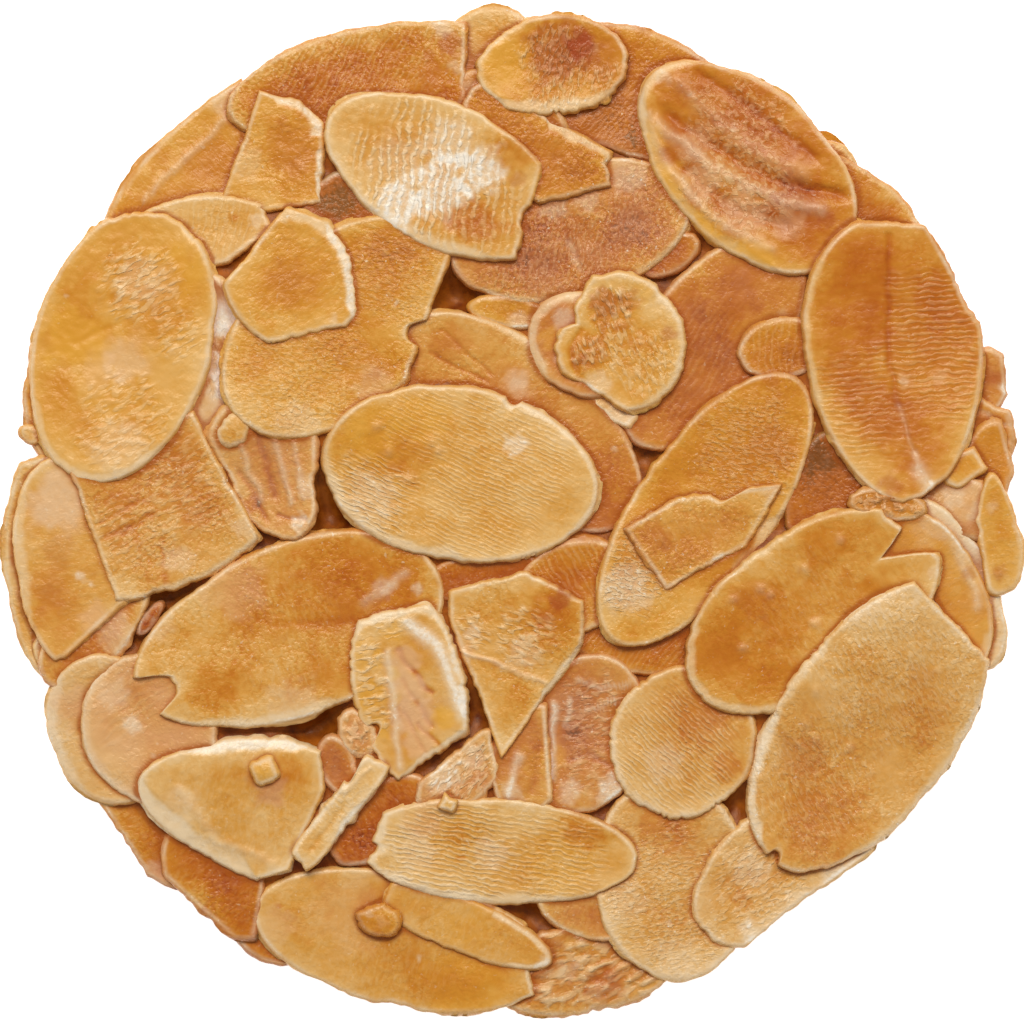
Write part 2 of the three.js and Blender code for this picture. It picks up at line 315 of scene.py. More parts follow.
RIM_AND_FLOOR = [
    almond(
        "north_east_rim", 9.5, 33.7, 19, 10.4, -19, 0.82, gold=0.2, shade=(-100, 0.1), grain=0.9,
        textures=[("lines", 50, 0.44, 0.02, 9, 31, 4)],
        spots=dict(toast=[(11.5, 30.5, 3, 0.1), (11, 36.5, 3.5, -0.14)]),
    ),
    almond("north_rim", -1.6, 35.8, 9.5, 8.6, 80, 0.32, spots=dict(toast=[(-2.6, 34.6, 2, 0.3)])),
    almond("east_tab", 25.2, 26.9, 6, 5, 60, 0.4),
    almond("east_wedge", 27.4, 22.6, 16, 9, -44, 0.52, spots=dict(toast=[(29, 22.5, 3, 0.1)])),
    almond(
        "north_west_rim", -24.6, 26.8, 24, 9.4, 45, 0.52, gold=0.3, grain=0.35, snaps=[(20, 5.4)],
        creases=[(-29.5, 25, -21.8, 32.6, 0.5, -0.16, -0.3)],
        spots=dict(pale=[(-23, 33.4, 1.8, 0.45)], toast=[(-28.5, 28.5, 1.5, 0.12), (-24, 28, 2.5, 0.08)]),
    ),
    almond("pit_floor", -13.2, 25, 8, 5, 20, 1, gold=0.2),
    almond(
        "west_strip", -25, 12.3, 14, 7.6, 86, 0.16, blush=0.35, grain=0.3, frill=0.18,
        textures=[("worms", 80, 0.7, 0.06, -22.8, 12, 4)],
        spots=dict(
            pale=[(-22.2, 10.6, 2.6, 1.2), (-22.4, 15.4, 2.6, 1.2)], toast=[(-23.2, 13.2, 0.8, 0.3)],
        ),
    ),
    almond("west_back", -33.5, 9.8, 17, 11.4, 92, 0.56, gold=0.3),
    almond("rim_crumb", -38.4, 6.2, 2, 1.5, 130, 0.4, frill=0.2),
    almond(
        "west_low_back", -35.8, -3.8, 21, 9.8, 92, 0.36, snaps=[(105, 8.4)],
        creases=[(-39.6, 2.5, -39.4, -5, 0.4, 0.1, 0.2)],
    ),
    almond("south_west_chip", -34.6, -12, 8, 5, 150, 0.38, spots=dict(toast=[(-35.5, -12.3, 1.4, 0.2)])),
    almond("south_corner", -19.3, -33, 8, 6, -38, 0.75),
    almond(
        "south_west_wedge", -28.8, -24.8, 12, 7, -57, 0.6, snaps=[(212, 2.7)],
        spots=dict(pale=[(-28.3, -29, 1.5, 0.35)]),
    ),
    almond(
        "south_rough", 5.6, -36.6, 16, 7.6, 8, 0.49, blush=0.2, wave=0.4, frill=0.25,
        textures=[("worms", 20, 1.3, 0.25, 6, -36, 9)],
        spots=dict(toast=[(3, -33.5, 2, 0.2), (7.5, -38, 2, 0.12)], pale=[(4.4, -36.8, 1.2, 0.3)]),
    ),
    almond(
        "east_amber_top", 37.6, 10.2, 6.4, 4.4, 75, 0.68, blush=0.2, grain=0.4, snaps=[(5, 2)],
        spots=dict(burn=[(38.4, 10.8, 1, 0.5)], pale=[(39.4, 9.9, 0.8, 0.6)]),
    ),
    almond(
        "east_amber", 37.2, 6.2, 8.6, 6.2, 80, 0.56, blush=0.2, gold=0.2, grain=0.4,
        snaps=[(10, 3), (68, 2.9)],
        creases=[(37, 8.2, 39.6, 7, 0.3, 0.12, -0.3), (37.6, 4.4, 39.6, 5.6, 0.3, 0.12, -0.4)],
        spots=dict(
            burn=[(38.2, 5.6, 1.2, 0.45)], toast=[(38, 7.6, 1, 0.12)], pale=[(36.8, 5.6, 0.8, 0.3)],
        ),
    ),
    almond(
        "east_amber_low", 37.9, 3.4, 8.4, 4.6, 75, 0.76, gold=0.4, grain=0.4, snaps=[(15, 2.2)],
        spots=dict(pale=[(37.6, 3.4, 0.7, 0.4)]),
    ),
    almond(
        "east_film", 35.8, 0.6, 8.4, 4.8, -35, 0.38, blush=0.9, grain=0.4, wave=0.4, frill=0.3,
        spots=dict(pale=[(35, 1.4, 1.3, 0.5), (37, 0, 1.2, 0.5)], toast=[(36.4, -1.2, 1, 0.25)]),
    ),
    almond("east_pit", 25.3, 1.6, 11, 7, 72, 0.9, gold=0.15, paling=0.3),
    almond("mid_chip", -0.2, 16, 6.8, 2.8, -8, 0.58, gold=0.4, spots=dict(pale=[(0.6, 14.9, 1.3, 0.45)])),
    almond("mid_shelf", 9.4, -9.2, 13.5, 7.4, -17, 0.7, textures=[("lines", 55, 0.4, 0.02, 10, -10, 6)]),
    almond("mid_strip", -2, -5.2, 10, 4.6, 6, 0.76, spots=dict(pale=[(2.1, -4.4, 0.6, 0.6)])),
    almond(
        "south_brown", 5.6, -17.8, 13.5, 10.5, 70, 0.63, blush=0.35, wave=0.3,
        textures=[("worms", 10, 0.8, 0.06, 6.6, -16, 3.4), ("worms", 60, 0.7, 0.05, 6, -20.6, 2.4)],
        creases=[
            (3.3, -15.4, 3.2, -21.4, 0.5, -0.15, -0.7), (4.6, -15, 4.2, -17, 0.4, -0.1, -0.5),
            *path([(5.2, -13.4), (7, -14.1), (9.4, -13.8)], 0.35, -0.1, -0.4),
            *path([(6, -15.7), (8, -15), (10.2, -15.7)], 0.3, -0.08, -0.35),
            *path([(4.6, -19.9), (6.2, -19.3), (7.8, -20.4)], 0.4, 0.1, 0.2),
        ],
        spots=dict(
            pale=[(8, -22.2, 1.4, 0.8), (4.6, -22.4, 1.2, 0.5)], toast=[(4.8, -18.2, 1.4, 0.14)],
            gold=[(3, -20, 1.6, 0.4)],
        ),
    ),
    almond(
        "north_tuck", 0, 32.2, 10, 5, -30, 0.76, blush=0.1, gold=0.4,
        spots=dict(pale=[(-3.5, 33.3, 1.6, 0.4)]),
    ),
    almond("west_splinter", -28.8, -8.5, 3.6, 1.4, 55, 0.83, dome=0.3, frill=0.2),
    almond("stick_floor", -10.6, -24.6, 10, 5.5, 40, 0.76),
]

SECOND_LAYER = [
    almond("north_bit", 12.6, 20.6, 5.5, 3.2, 30, 0.84, blush=0.1),
    almond(
        "north_brown", 4.7, 22.6, 20, 11.4, 15, 0.67, blush=0.25, shade=(200, 0.08), grain=0.9,
        rims=[(262, 60, 0.8, 0.2, 0.3), (330, 40, 0.7, 0.2, 0.3)],
        textures=[("worms", 80, 0.5, 0.036, 3, 20, 7), ("worms", 70, 0.5, 0.03, 10, 23, 5)],
        creases=[(3.8, 23.6, 4.6, 21.5, 0.5, 0.12, 0.1), (4.6, 21.5, 5.5, 19.4, 0.5, 0.12, -0.2)],
        spots=dict(
            pale=[(9.2, 27, 1.8, 0.4), (3.4, 24.4, 1.3, 0.35), (6, 25, 1.3, 0.35)],
            toast=[(1, 22, 3, 0.08), (10, 22, 3, 0.08)],
        ),
    ),
    almond(
        "east_brown", 16, 13.6, 20.5, 11, 52, 0.67, blush=0.15, grain=0.45,
        textures=[("lines", 58, 0.56, 0.015, 14, 12, 6)],
        spots=dict(toast=[(17, 17, 3, 0.08), (13, 10, 2.5, 0.08)], pale=[(21.5, 15.8, 0.7, 0.25)]),
    ),
    almond(
        "centre_back", 0.6, 7.2, 24, 12, -40, 0.55, blush=0.15, shade=(-45, 0.12),
        rims=[(55, 70, 0.8, 0.2, 0.35)],
        creases=[(-6.5, 12.6, -2, 10.4, 0.4, 0.12, 0.18), (-5.6, 14.6, -1.6, 11, 0.3, 0.1, 0.12)],
        spots=dict(
            pale=[(0.5, 10.4, 1, 0.35), (8.2, 5, 0.5, 0.5)],
            toast=[(7.5, -1, 3.5, 0.2), (1.5, 13, 2, -0.05), (-5, 13.5, 2, 0.1)],
            blush=[(0.5, 10.2, 1.5, 0.8)],
        ),
    ),
    almond(
        "west_white", -33.2, -8.7, 13, 6.4, 54, 0.54, blush=0.1,
        spots=dict(pale=[(-31.5, -9.5, 2, 0.35)]),
    ),
    almond(
        "west_low", -35.2, -4.1, 17.5, 9.2, 98, 0.47, blush=0.15, gold=0.2, shade=(280, 0.08), grain=0.4,
        snaps=[(-47, 5.3)], bites=[(-35.8, -12.6, 1)], rims=[(178, 70, 1.3, 0.3, 0.3)],
        spots=dict(
            pale=[(-36.3, 1, 2.6, 0.35), (-34.4, -5.2, 0.7, 0.7), (-33.5, -5.7, 0.5, 0.6)],
            burn=[(-36, -3.2, 1.6, 0.2)], toast=[(-38, -8.6, 1.4, 0.1), (-37, -6, 2, 0.08)],
            blush=[(-36, 0.8, 3.2, 0.9), (-33, -8.5, 1.6, 0.8)],
        ),
    ),
    almond(
        "south_west_back", -32.2, -17.3, 12.4, 9.8, 108, 0.34, blush=0.3, rims=[(190, 70, 1.2, 0.3, 0.3)],
        spots=dict(toast=[(-34.6, -16, 1.5, 0.2)], blush=[(-35, -15.5, 2, 0.6)]),
    ),
    almond(
        "south_west_pink", -28.9, -17.4, 12.6, 10.8, 110, 0.48, blush=0.85, shade=(30, 0.14),
        rims=[(195, 85, 1.1, 0.4, 0.05)], textures=[("lines", 35, 0.64, 0.02, -31, -15, 4)],
        spots=dict(pale=[(-30.2, -16.9, 1.1, 0.7), (-28.5, -19.4, 0.5, 0.5), (-31.6, -14.5, 1.5, 0.3)]),
    ),
    almond(
        "south_west_brown", -22.8, -29, 12, 9, -45, 0.79, snaps=[(228, 3.5), (-10, 3.2)],
        spots=dict(toast=[(-25.5, -30.5, 1.6, -0.15)]),
    ),
    almond(
        "east_low_back", 34.6, -5.8, 15.4, 8, -62, 0.15, blush=0.4, spots=dict(pale=[(37, -4, 5, 0.5)]),
    ),
    almond(
        "east_low", 33.4, -6, 15, 8, -61, 0.53, blush=0.25, gold=0.4, grain=0.35,
        rims=[(-62, 30, 1, 0.3, 0.3)],
        creases=[*path([(33.4, 0.2), (35.2, -2.2), (36.4, -5), (37.2, -7.4)], 0.8, -0.12, -0.4)],
        spots=dict(
            burn=[(36.4, -4.8, 0.9, 0.3)], pale=[(33.6, -1.2, 1.6, 0.25)], blush=[(33, -1.4, 1.6, 0.4)],
        ),
    ),
    almond(
        "east_gold", 38.6, -1.8, 10, 4, 95, 0.46, tip=0.35, gold=0.3, grain=0.4, frill=0.16,
        snaps=[(190, 1.6)],
        spots=dict(
            burn=[(38.8, -4.9, 0.9, 0.4)], toast=[(39.5, -1.5, 1.3, 0.1)], pale=[(38.2, 0.4, 0.8, 0.3)],
        ),
    ),
    almond(
        "east_chip", 36.1, 3.6, 4.2, 3.4, 30, 0.5, gold=0.4, grain=0.3,
        snaps=[(35, 1.5), (-55, 1.2), (110, 1.3)],
    ),
    almond(
        "east_bit", 29.8, 0.6, 6.4, 2.8, -8, 0.75, blush=0.1, gold=0.4, wave=0.4, frill=0.3,
        textures=[("lumps", 20, 1.1, 0.25, 30, 0.7, 4)],
    ),
    almond("mid_gold", 5, -6, 10, 7.6, 20, 0.66, textures=[("lines", 120, 0.48, 0.025, 5, -4.5, 4)]),
    almond(
        "south_tan", 1.4, -19.8, 9.4, 6.4, 76, 0.61, blush=0.2, frill=0.2, snaps=[(4, 1.7)],
        rims=[(0, 70, 0.6, 0.2, 0.7)],
        creases=[(-0.4, -22.8, 0.6, -19.6, 0.7, -0.1, -0.5), (1.6, -22.2, 2.2, -18.6, 0.7, 0.08, 0.15)],
        spots=dict(pale=[(0, -22.4, 1.2, 0.4)], gold=[(1.4, -20, 1.4, 0.3)]),
    ),
    almond(
        "south_blush", -4, -20.8, 9, 5.2, 42, 0.52, blush=0.5, wave=0.3, frill=0.25,
        snaps=[(130, 1.7), (10, 3)], textures=[("worms", 45, 0.7, 0.1, -3.6, -20.5, 4)],
        spots=dict(pale=[(-5.4, -21, 1.6, 0.6), (-3, -19.6, 1.2, 0.4)], toast=[(-2.4, -21.4, 1.2, 0.12)]),
    ),
    almond("knob_b", -13.9, -20.2, 5.2, 3.2, -70, 0.71, blush=0.2, wave=0.3),
    almond(
        "knob_a", -12.3, -17.6, 4.4, 3.2, 110, 0.56, blush=0.5, wave=0.4, dome=0.2, frill=0.3,
        textures=[("lumps", 0, 1.3, 0.35, -12.3, -17.6, 3)],
    ),
    almond(
        "white_sliver", 8.2, 8.3, 4.8, 2.2, -35, 0.3, blush=0.5, wave=0.4, frill=0.3,
        snaps=[(55, 0.7), (-35, 1.9)], spots=dict(pale=[(8.8, 8, 1.6, 0.4)]),
    ),
    almond(
        "centre_pale", 5.6, 13.4, 9.4, 8.2, 140, 0.66, blush=0.25, grain=0.3, wave=0.2,
        rims=[(150, 85, 1.1, 0.4, 0.5)],
        spots=dict(
            pale=[(4.2, 15.4, 1.2, 0.5), (3.8, 12.2, 0.8, 0.7)], toast=[(5.2, 15, 1, 0.15)],
            gold=[(3, 14, 1.2, 0.5)],
        ),
    ),
    almond(
        "east_small", 21.6, 13, 7.4, 5.2, 10, 0.78, gold=0.2,
        textures=[("lines", 90, 0.56, 0.025, 21, 13, 4)],
    ),
    almond("south_chip", 5.6, -32, 8, 4.2, -22, 0.54, blush=0.25, rims=[(235, 50, 0.6, 0.2, 0.5)]),
]

THIRD_LAYER = [
    almond(
        "north_west_long", -11.5, 34.5, 23.2, 8.9, 192, 0.6, shade=(-60, 0.12), grain=0.8,
        snaps=[(0, 7.9)],
        textures=[("lines", 62, 0.48, 0.03, -14, 35, 6), ("lines", 62, 0.48, 0.025, -9, 36, 4)],
        spots=dict(
            burn=[(-4.9, 37.3, 1.3, 0.55), (-6.6, 36.3, 0.9, 0.35)],
            pale=[(-5.6, 38.7, 1.1, 0.6), (-4.6, 35.6, 0.9, 0.35)],
            toast=[(-16, 33.5, 3, 0.1), (-12, 38.5, 2.5, -0.12), (-8, 38, 1.3, 0.1)],
        ),
    ),
    almond(
        "west_centre", -17.8, -9.6, 26, 14, 201, 0.47, tip=0.08, shade=(60, 0.14), grain=0.6,
        bites=[(-28.4, -14.4, 1.6)], rims=[(265, 50, 1.2, 0.25, 0.3)],
        creases=[(-19, -8.9, -12.4, -8.7, 0.9, 0.05, 0.1), (-11.6, -7.3, -8.6, -5, 0.8, -0.04, -0.3)],
        # The third pale spot is a painted glint at the eastern tip.
        spots=dict(
            burn=[(-12.6, -8, 2.4, 0.2)],
            toast=[(-15, -4.5, 3.5, 0.08), (-24, -14, 2.5, 0.1), (-7, -8, 1.5, 0.15)],
            pale=[
                (-17, -16, 3, 0.3), (-10.2, -6, 1.2, 0.35), (-7.6, -6.2, 0.8, 0.6), (-28, -9, 1.6, 0.25),
            ],
            blush=[(-22, -6, 3, 0.5)],
        ),
    ),
    almond(
        "west_fold", -19.2, 3.6, 12.5, 9, -72, 0.53, tip=0.3, blush=0.4, wave=0.4,
        snaps=[(0, 3.7), (205, 3.6)],
        creases=[
            (-19, 6, -17.6, 0.6, 0.5, -0.15, -0.35), (-21.6, 3, -19.6, -0.4, 0.5, 0.2, 0.25),
            (-18.6, -0.3, -16.5, -0.5, 0.25, 0.15, 0.3), (-17.4, 5.4, -16.6, 1, 0.4, -0.12, -0.3),
            *path([(-20.4, 6.6), (-19.5, 4), (-19, 1.4)], 0.6, 0.2, 0.25),
            *path([(-21.6, 5.4), (-20.8, 3), (-20, 1)], 0.5, -0.16, -0.3),
        ],
        spots=dict(pale=[(-17, -0.8, 1, 0.8), (-16.2, 2, 1.2, 0.5)], toast=[(-20.6, 0.6, 1.1, 0.25)]),
    ),
    almond("west_knob", -22.2, 6.5, 3.2, 2.8, 60, 0.46, wave=0.4, dome=0.5, frill=0.25),
    almond(
        "west_inner", -13.8, 14.8, 22, 14, 222, 0.49, gold=0.25, shade=(30, 0.1), grain=0.8,
        snaps=[(-19, 6.6)], bites=[(-6.9, 14.2, 1.3)],
        textures=[("worms", 170, 0.5, 0.03, -17, 11, 7), ("worms", 170, 0.5, 0.03, -9, 19, 5)],
        spots=dict(
            pale=[(-9.2, 16.7, 0.45, 0.7), (-17, 7, 2, 0.25), (-11, 10, 2, 0.2)],
            toast=[(-9, 20, 3.5, 0.08), (-9.5, 11.5, 2, 0.06)],
        ),
    ),
    almond(
        "north_west_tile", -18.8, 29.2, 14, 12, 105, 0.58, gold=0.3,
        snaps=[(161, 2.9), (77, 4.2), (45, 4.1), (0, 3.8), (-85, 5.1)],
        rims=[(62, 40, 1, 0.45, 0.7), (35, 25, 1.2, 0.4, 0.8), (-28, 30, 0.8, 0.4, 0.8)],
        spots=dict(
            toast=[(-18, 29.5, 2.6, 0.1)], burn=[(-18.4, 31.2, 0.8, 0.2)], pale=[(-21.5, 28, 1.8, 0.2)],
        ),
    ),
    almond(
        "north_west_pale", -24, 22.5, 13, 5.8, 180, 0.32, blush=0.15, gold=0.15,
        snaps=[(-53, 2.9), (15, 4.7)], textures=[("lines", 80, 0.48, 0.025, -23, 22.5, 4)],
        spots=dict(toast=[(-22.3, 23.5, 0.7, 0.2)], pale=[(-20.4, 23.2, 0.9, 0.5)]),
    ),
    almond(
        "north_west_round", -17.4, 18.9, 12.6, 11.4, 120, 0.52, gold=0.35, grain=0.45,
        snaps=[(141, 4), (4, 4.9), (-80, 5.1), (36, 4.8), (70, 5)],
        rims=[(10, 55, 1.2, 0.5, 0.9), (75, 35, 1.2, 0.3, 0.45)],
        spots=dict(
            toast=[(-17.5, 18, 3, 0.08), (-19.5, 14.7, 1.2, 0.15)], pale=[(-14.2, 15.4, 0.7, 0.4)],
        ),
    ),
    almond(
        "north_orange", 2.6, 29.3, 15, 9, -35, 0.7, gold=0.2, grain=0.9,
        snaps=[(61, 2.2), (0, 5.4), (-75, 4.6)], tears=[(-18, 7, 7, 0.5)], rims=[(35, 60, 1, 0.5, 0.5)],
        spots=dict(toast=[(5.5, 26.5, 2, 0.06)]),
    ),
]

FOURTH_LAYER = [
    almond(
        "south_east_fan", 12.8, -29.4, 16.6, 12.8, 100, 0.36, blush=0.2, shade=(90, 0.12), grain=0.8,
        textures=[("worms", 8, 0.5, 0.04, 12, -31, 7)],
        spots=dict(
            toast=[(12, -25.5, 2.5, 0.18), (16.5, -28, 1.5, 0.12)],
            pale=[(13, -35.8, 2, 0.2), (12.6, -33, 0.5, 0.4), (9, -31, 2, 0.2)],
        ),
    ),
    almond(
        "south_east_pale", 21.8, -28.4, 17, 10, 217, 0.3, blush=0.25, grain=0.7, frill=0.2,
        snaps=[(-53, 3.3)], textures=[("worms", 30, 0.6, 0.05, 20, -30, 5)],
        spots=dict(
            pale=[
                (18.8, -33.4, 1.1, 0.7), (26.5, -29.3, 2.2, 0.6), (23, -31.5, 1.6, 0.4),
                (19, -28.6, 1.8, 0.3),
            ],
            toast=[(18.4, -31, 1.2, 0.12), (22, -29, 1.2, 0.1)],
        ),
    ),
    almond(
        "east_long", 15.4, 0.2, 25.8, 11.2, 235, 0.55, gold=0.25, shade=(55, 0.12),
        rims=[(-38, 40, 1.3, 0.5, 0.35)],
        textures=[("worms", -12, 0.44, 0.04, 19, 5, 5), ("beads", 8, 0.62, 0.075, 9.2, -4.8, 3.8)],
        spots=dict(
            pale=[(9.2, -6.2, 2.3, 0.45), (11, -2, 2, 0.2)],
            toast=[(20.6, 10.4, 1, 0.15), (9, -9.6, 1.4, 0.12)],
        ),
    ),
    almond(
        "east_shard", 14.8, -1.4, 18, 12, 30, 0.58, blush=0.15, gold=0.15, grain=0.9, wave=0.3,
        frill=0.24, snaps=[(214, 4.9), (120, 3.1), (98, 2.8), (-61, 3.1), (-30, 4.1)],
        bites=[(17.4, 2.9, 2)],
        spots=dict(
            pale=[(20.6, 1.5, 1, 0.3), (16.5, -3.6, 0.8, 0.3)],
            toast=[(18, -0.4, 1.6, 0.12), (11.4, -2.2, 1.6, 0.14)],
        ),
    ),
    almond(
        "south_east_ridged", 13.6, -18.4, 12.6, 11.8, 60, 0.42, blush=0.15, shade=(50, 0.14), grain=0.5,
        scallops=[(180, 80, 1.1, 0.35), (265, 50, 0.8, 0.4)], rims=[(195, 60, 0.9, 0.2, 0.25)],
        textures=[
            ("lines", -42, 0.36, 0.055, 13, -19.5, 5.5), ("worms", -50, 0.44, 0.03, 14.5, -16.5, 4),
        ],
        spots=dict(toast=[(17.2, -20.5, 1.5, 0.15)], pale=[(12, -20, 1.8, 0.3)]),
    ),
    almond(
        "east_notched", 23.9, -7.9, 22.8, 13.4, 33, 0.48, shade=(200, 0.06), grain=0.4, frill=0.18,
        snaps=[(50, 9.9), (15, 11)], tears=[(38, 13, 5, 3.2)],
        rims=[(222, 45, 1, 0.3, 0.35), (120, 40, 0.7, 0.2, 0.25)],
        creases=drops(
            [
                (19.7, -6.1), (20.5, -6.6), (23.2, -4.6), (25.9, -2.1), (18.4, -10.8), (24.1, -8.8),
                (17.5, -6.9),
            ],
            0.75, 0.14, -0.16,
        ),
        spots=dict(
            burn=[(18.5, -6.8, 1.2, 0.2)], toast=[(28, -4.5, 2.5, 0.05)],
            pale=[(33.6, -4.8, 0.9, 0.4), (31.3, -0.8, 1, 0.4)],
        ),
    ),
    almond(
        "south_long", -8.8, -34.3, 24.4, 10.9, -13, 0.46, shade=(-20, 0.08), grain=0.4, snaps=[(9, 10)],
        rims=[(-15, 20, 0.6, 0.3, 0.6)],
        spots=dict(
            pale=[(-7.4, -35.7, 0.5, 0.5), (-19, -33, 2, 0.2)],
            toast=[(-4, -38, 4, 0.06), (-18.6, -31.4, 0.5, 0.15)], blush=[(-13, -32, 4, 0.3)],
            gold=[(-4, -38, 4, 0.4)],
        ),
    ),
    almond(
        "centre_burnt", 8.6, 13.6, 11.6, 10.6, -60, 0.38, gold=0.15, grain=0.5, cup=0.2, frill=0.18,
        snaps=[(150, 4.6), (239, 4.6)], tears=[(158, 16, 10, 0.9)], rims=[(-10, 80, 0.8, 0.25, 0.3)],
        textures=[
            ("worms", 110, 0.7, 0.06, 8.4, 13, 2.6), ("worms", 80, 0.7, 0.05, 11, 11.4, 3),
            ("lumps", 30, 0.9, 0.16, 6, 12.6, 1.5), ("lumps", 0, 0.8, 0.16, 8, 16.4, 1.8),
        ],
        creases=[*path([(5.4, 14.4), (4.6, 12.8), (5.2, 11.2), (6, 9.8)], 0.5, 0.12, 0.2)],
        spots=dict(
            burn=[
                (7.4, 16.6, 1.5, 0.5), (9.4, 17, 1.2, 0.35), (5.6, 12.2, 0.8, 0.45), (12.5, 14.2, 1, 0.4),
            ],
            toast=[(8, 16.2, 2.4, 0.2), (6, 12.8, 2, 0.16)], pale=[(6.8, 10.2, 1.4, 0.4)],
            blush=[(8.6, 16.4, 0.5, 0.7)], gold=[(10.4, 17.4, 1.2, 0.4)],
        ),
    ),
    almond(
        "west_tile", -27.8, 0.5, 22, 13.4, 25, 0.5, blush=0.12, shade=(140, 0.1), grain=0.8, frill=0.26,
        snaps=[(200, 6.1), (27.5, 5.7)], rims=[(300, 45, 0.7, 0.3, 0.35)],
        textures=[("worms", 25, 0.7, 0.042, -25.5, 2, 5), ("worms", 25, 0.6, 0.04, -30, -1.5, 4)],
        creases=[
            (-32.6, -2.2, -28.4, -0.2, 0.5, 0.08, 0.18), (-32.8, -0.8, -29, 1.1, 0.4, 0.06, 0.12),
            (-27.8, -2.2, -27.6, -5.8, 0.4, 0.05, 0.15),
        ],
        spots=dict(
            pale=[(-26.6, -3.8, 1.4, 0.35), (-21.4, -1.2, 1.2, 0.35)], toast=[(-30.8, -6, 1.6, -0.1)],
        ),
    ),
]

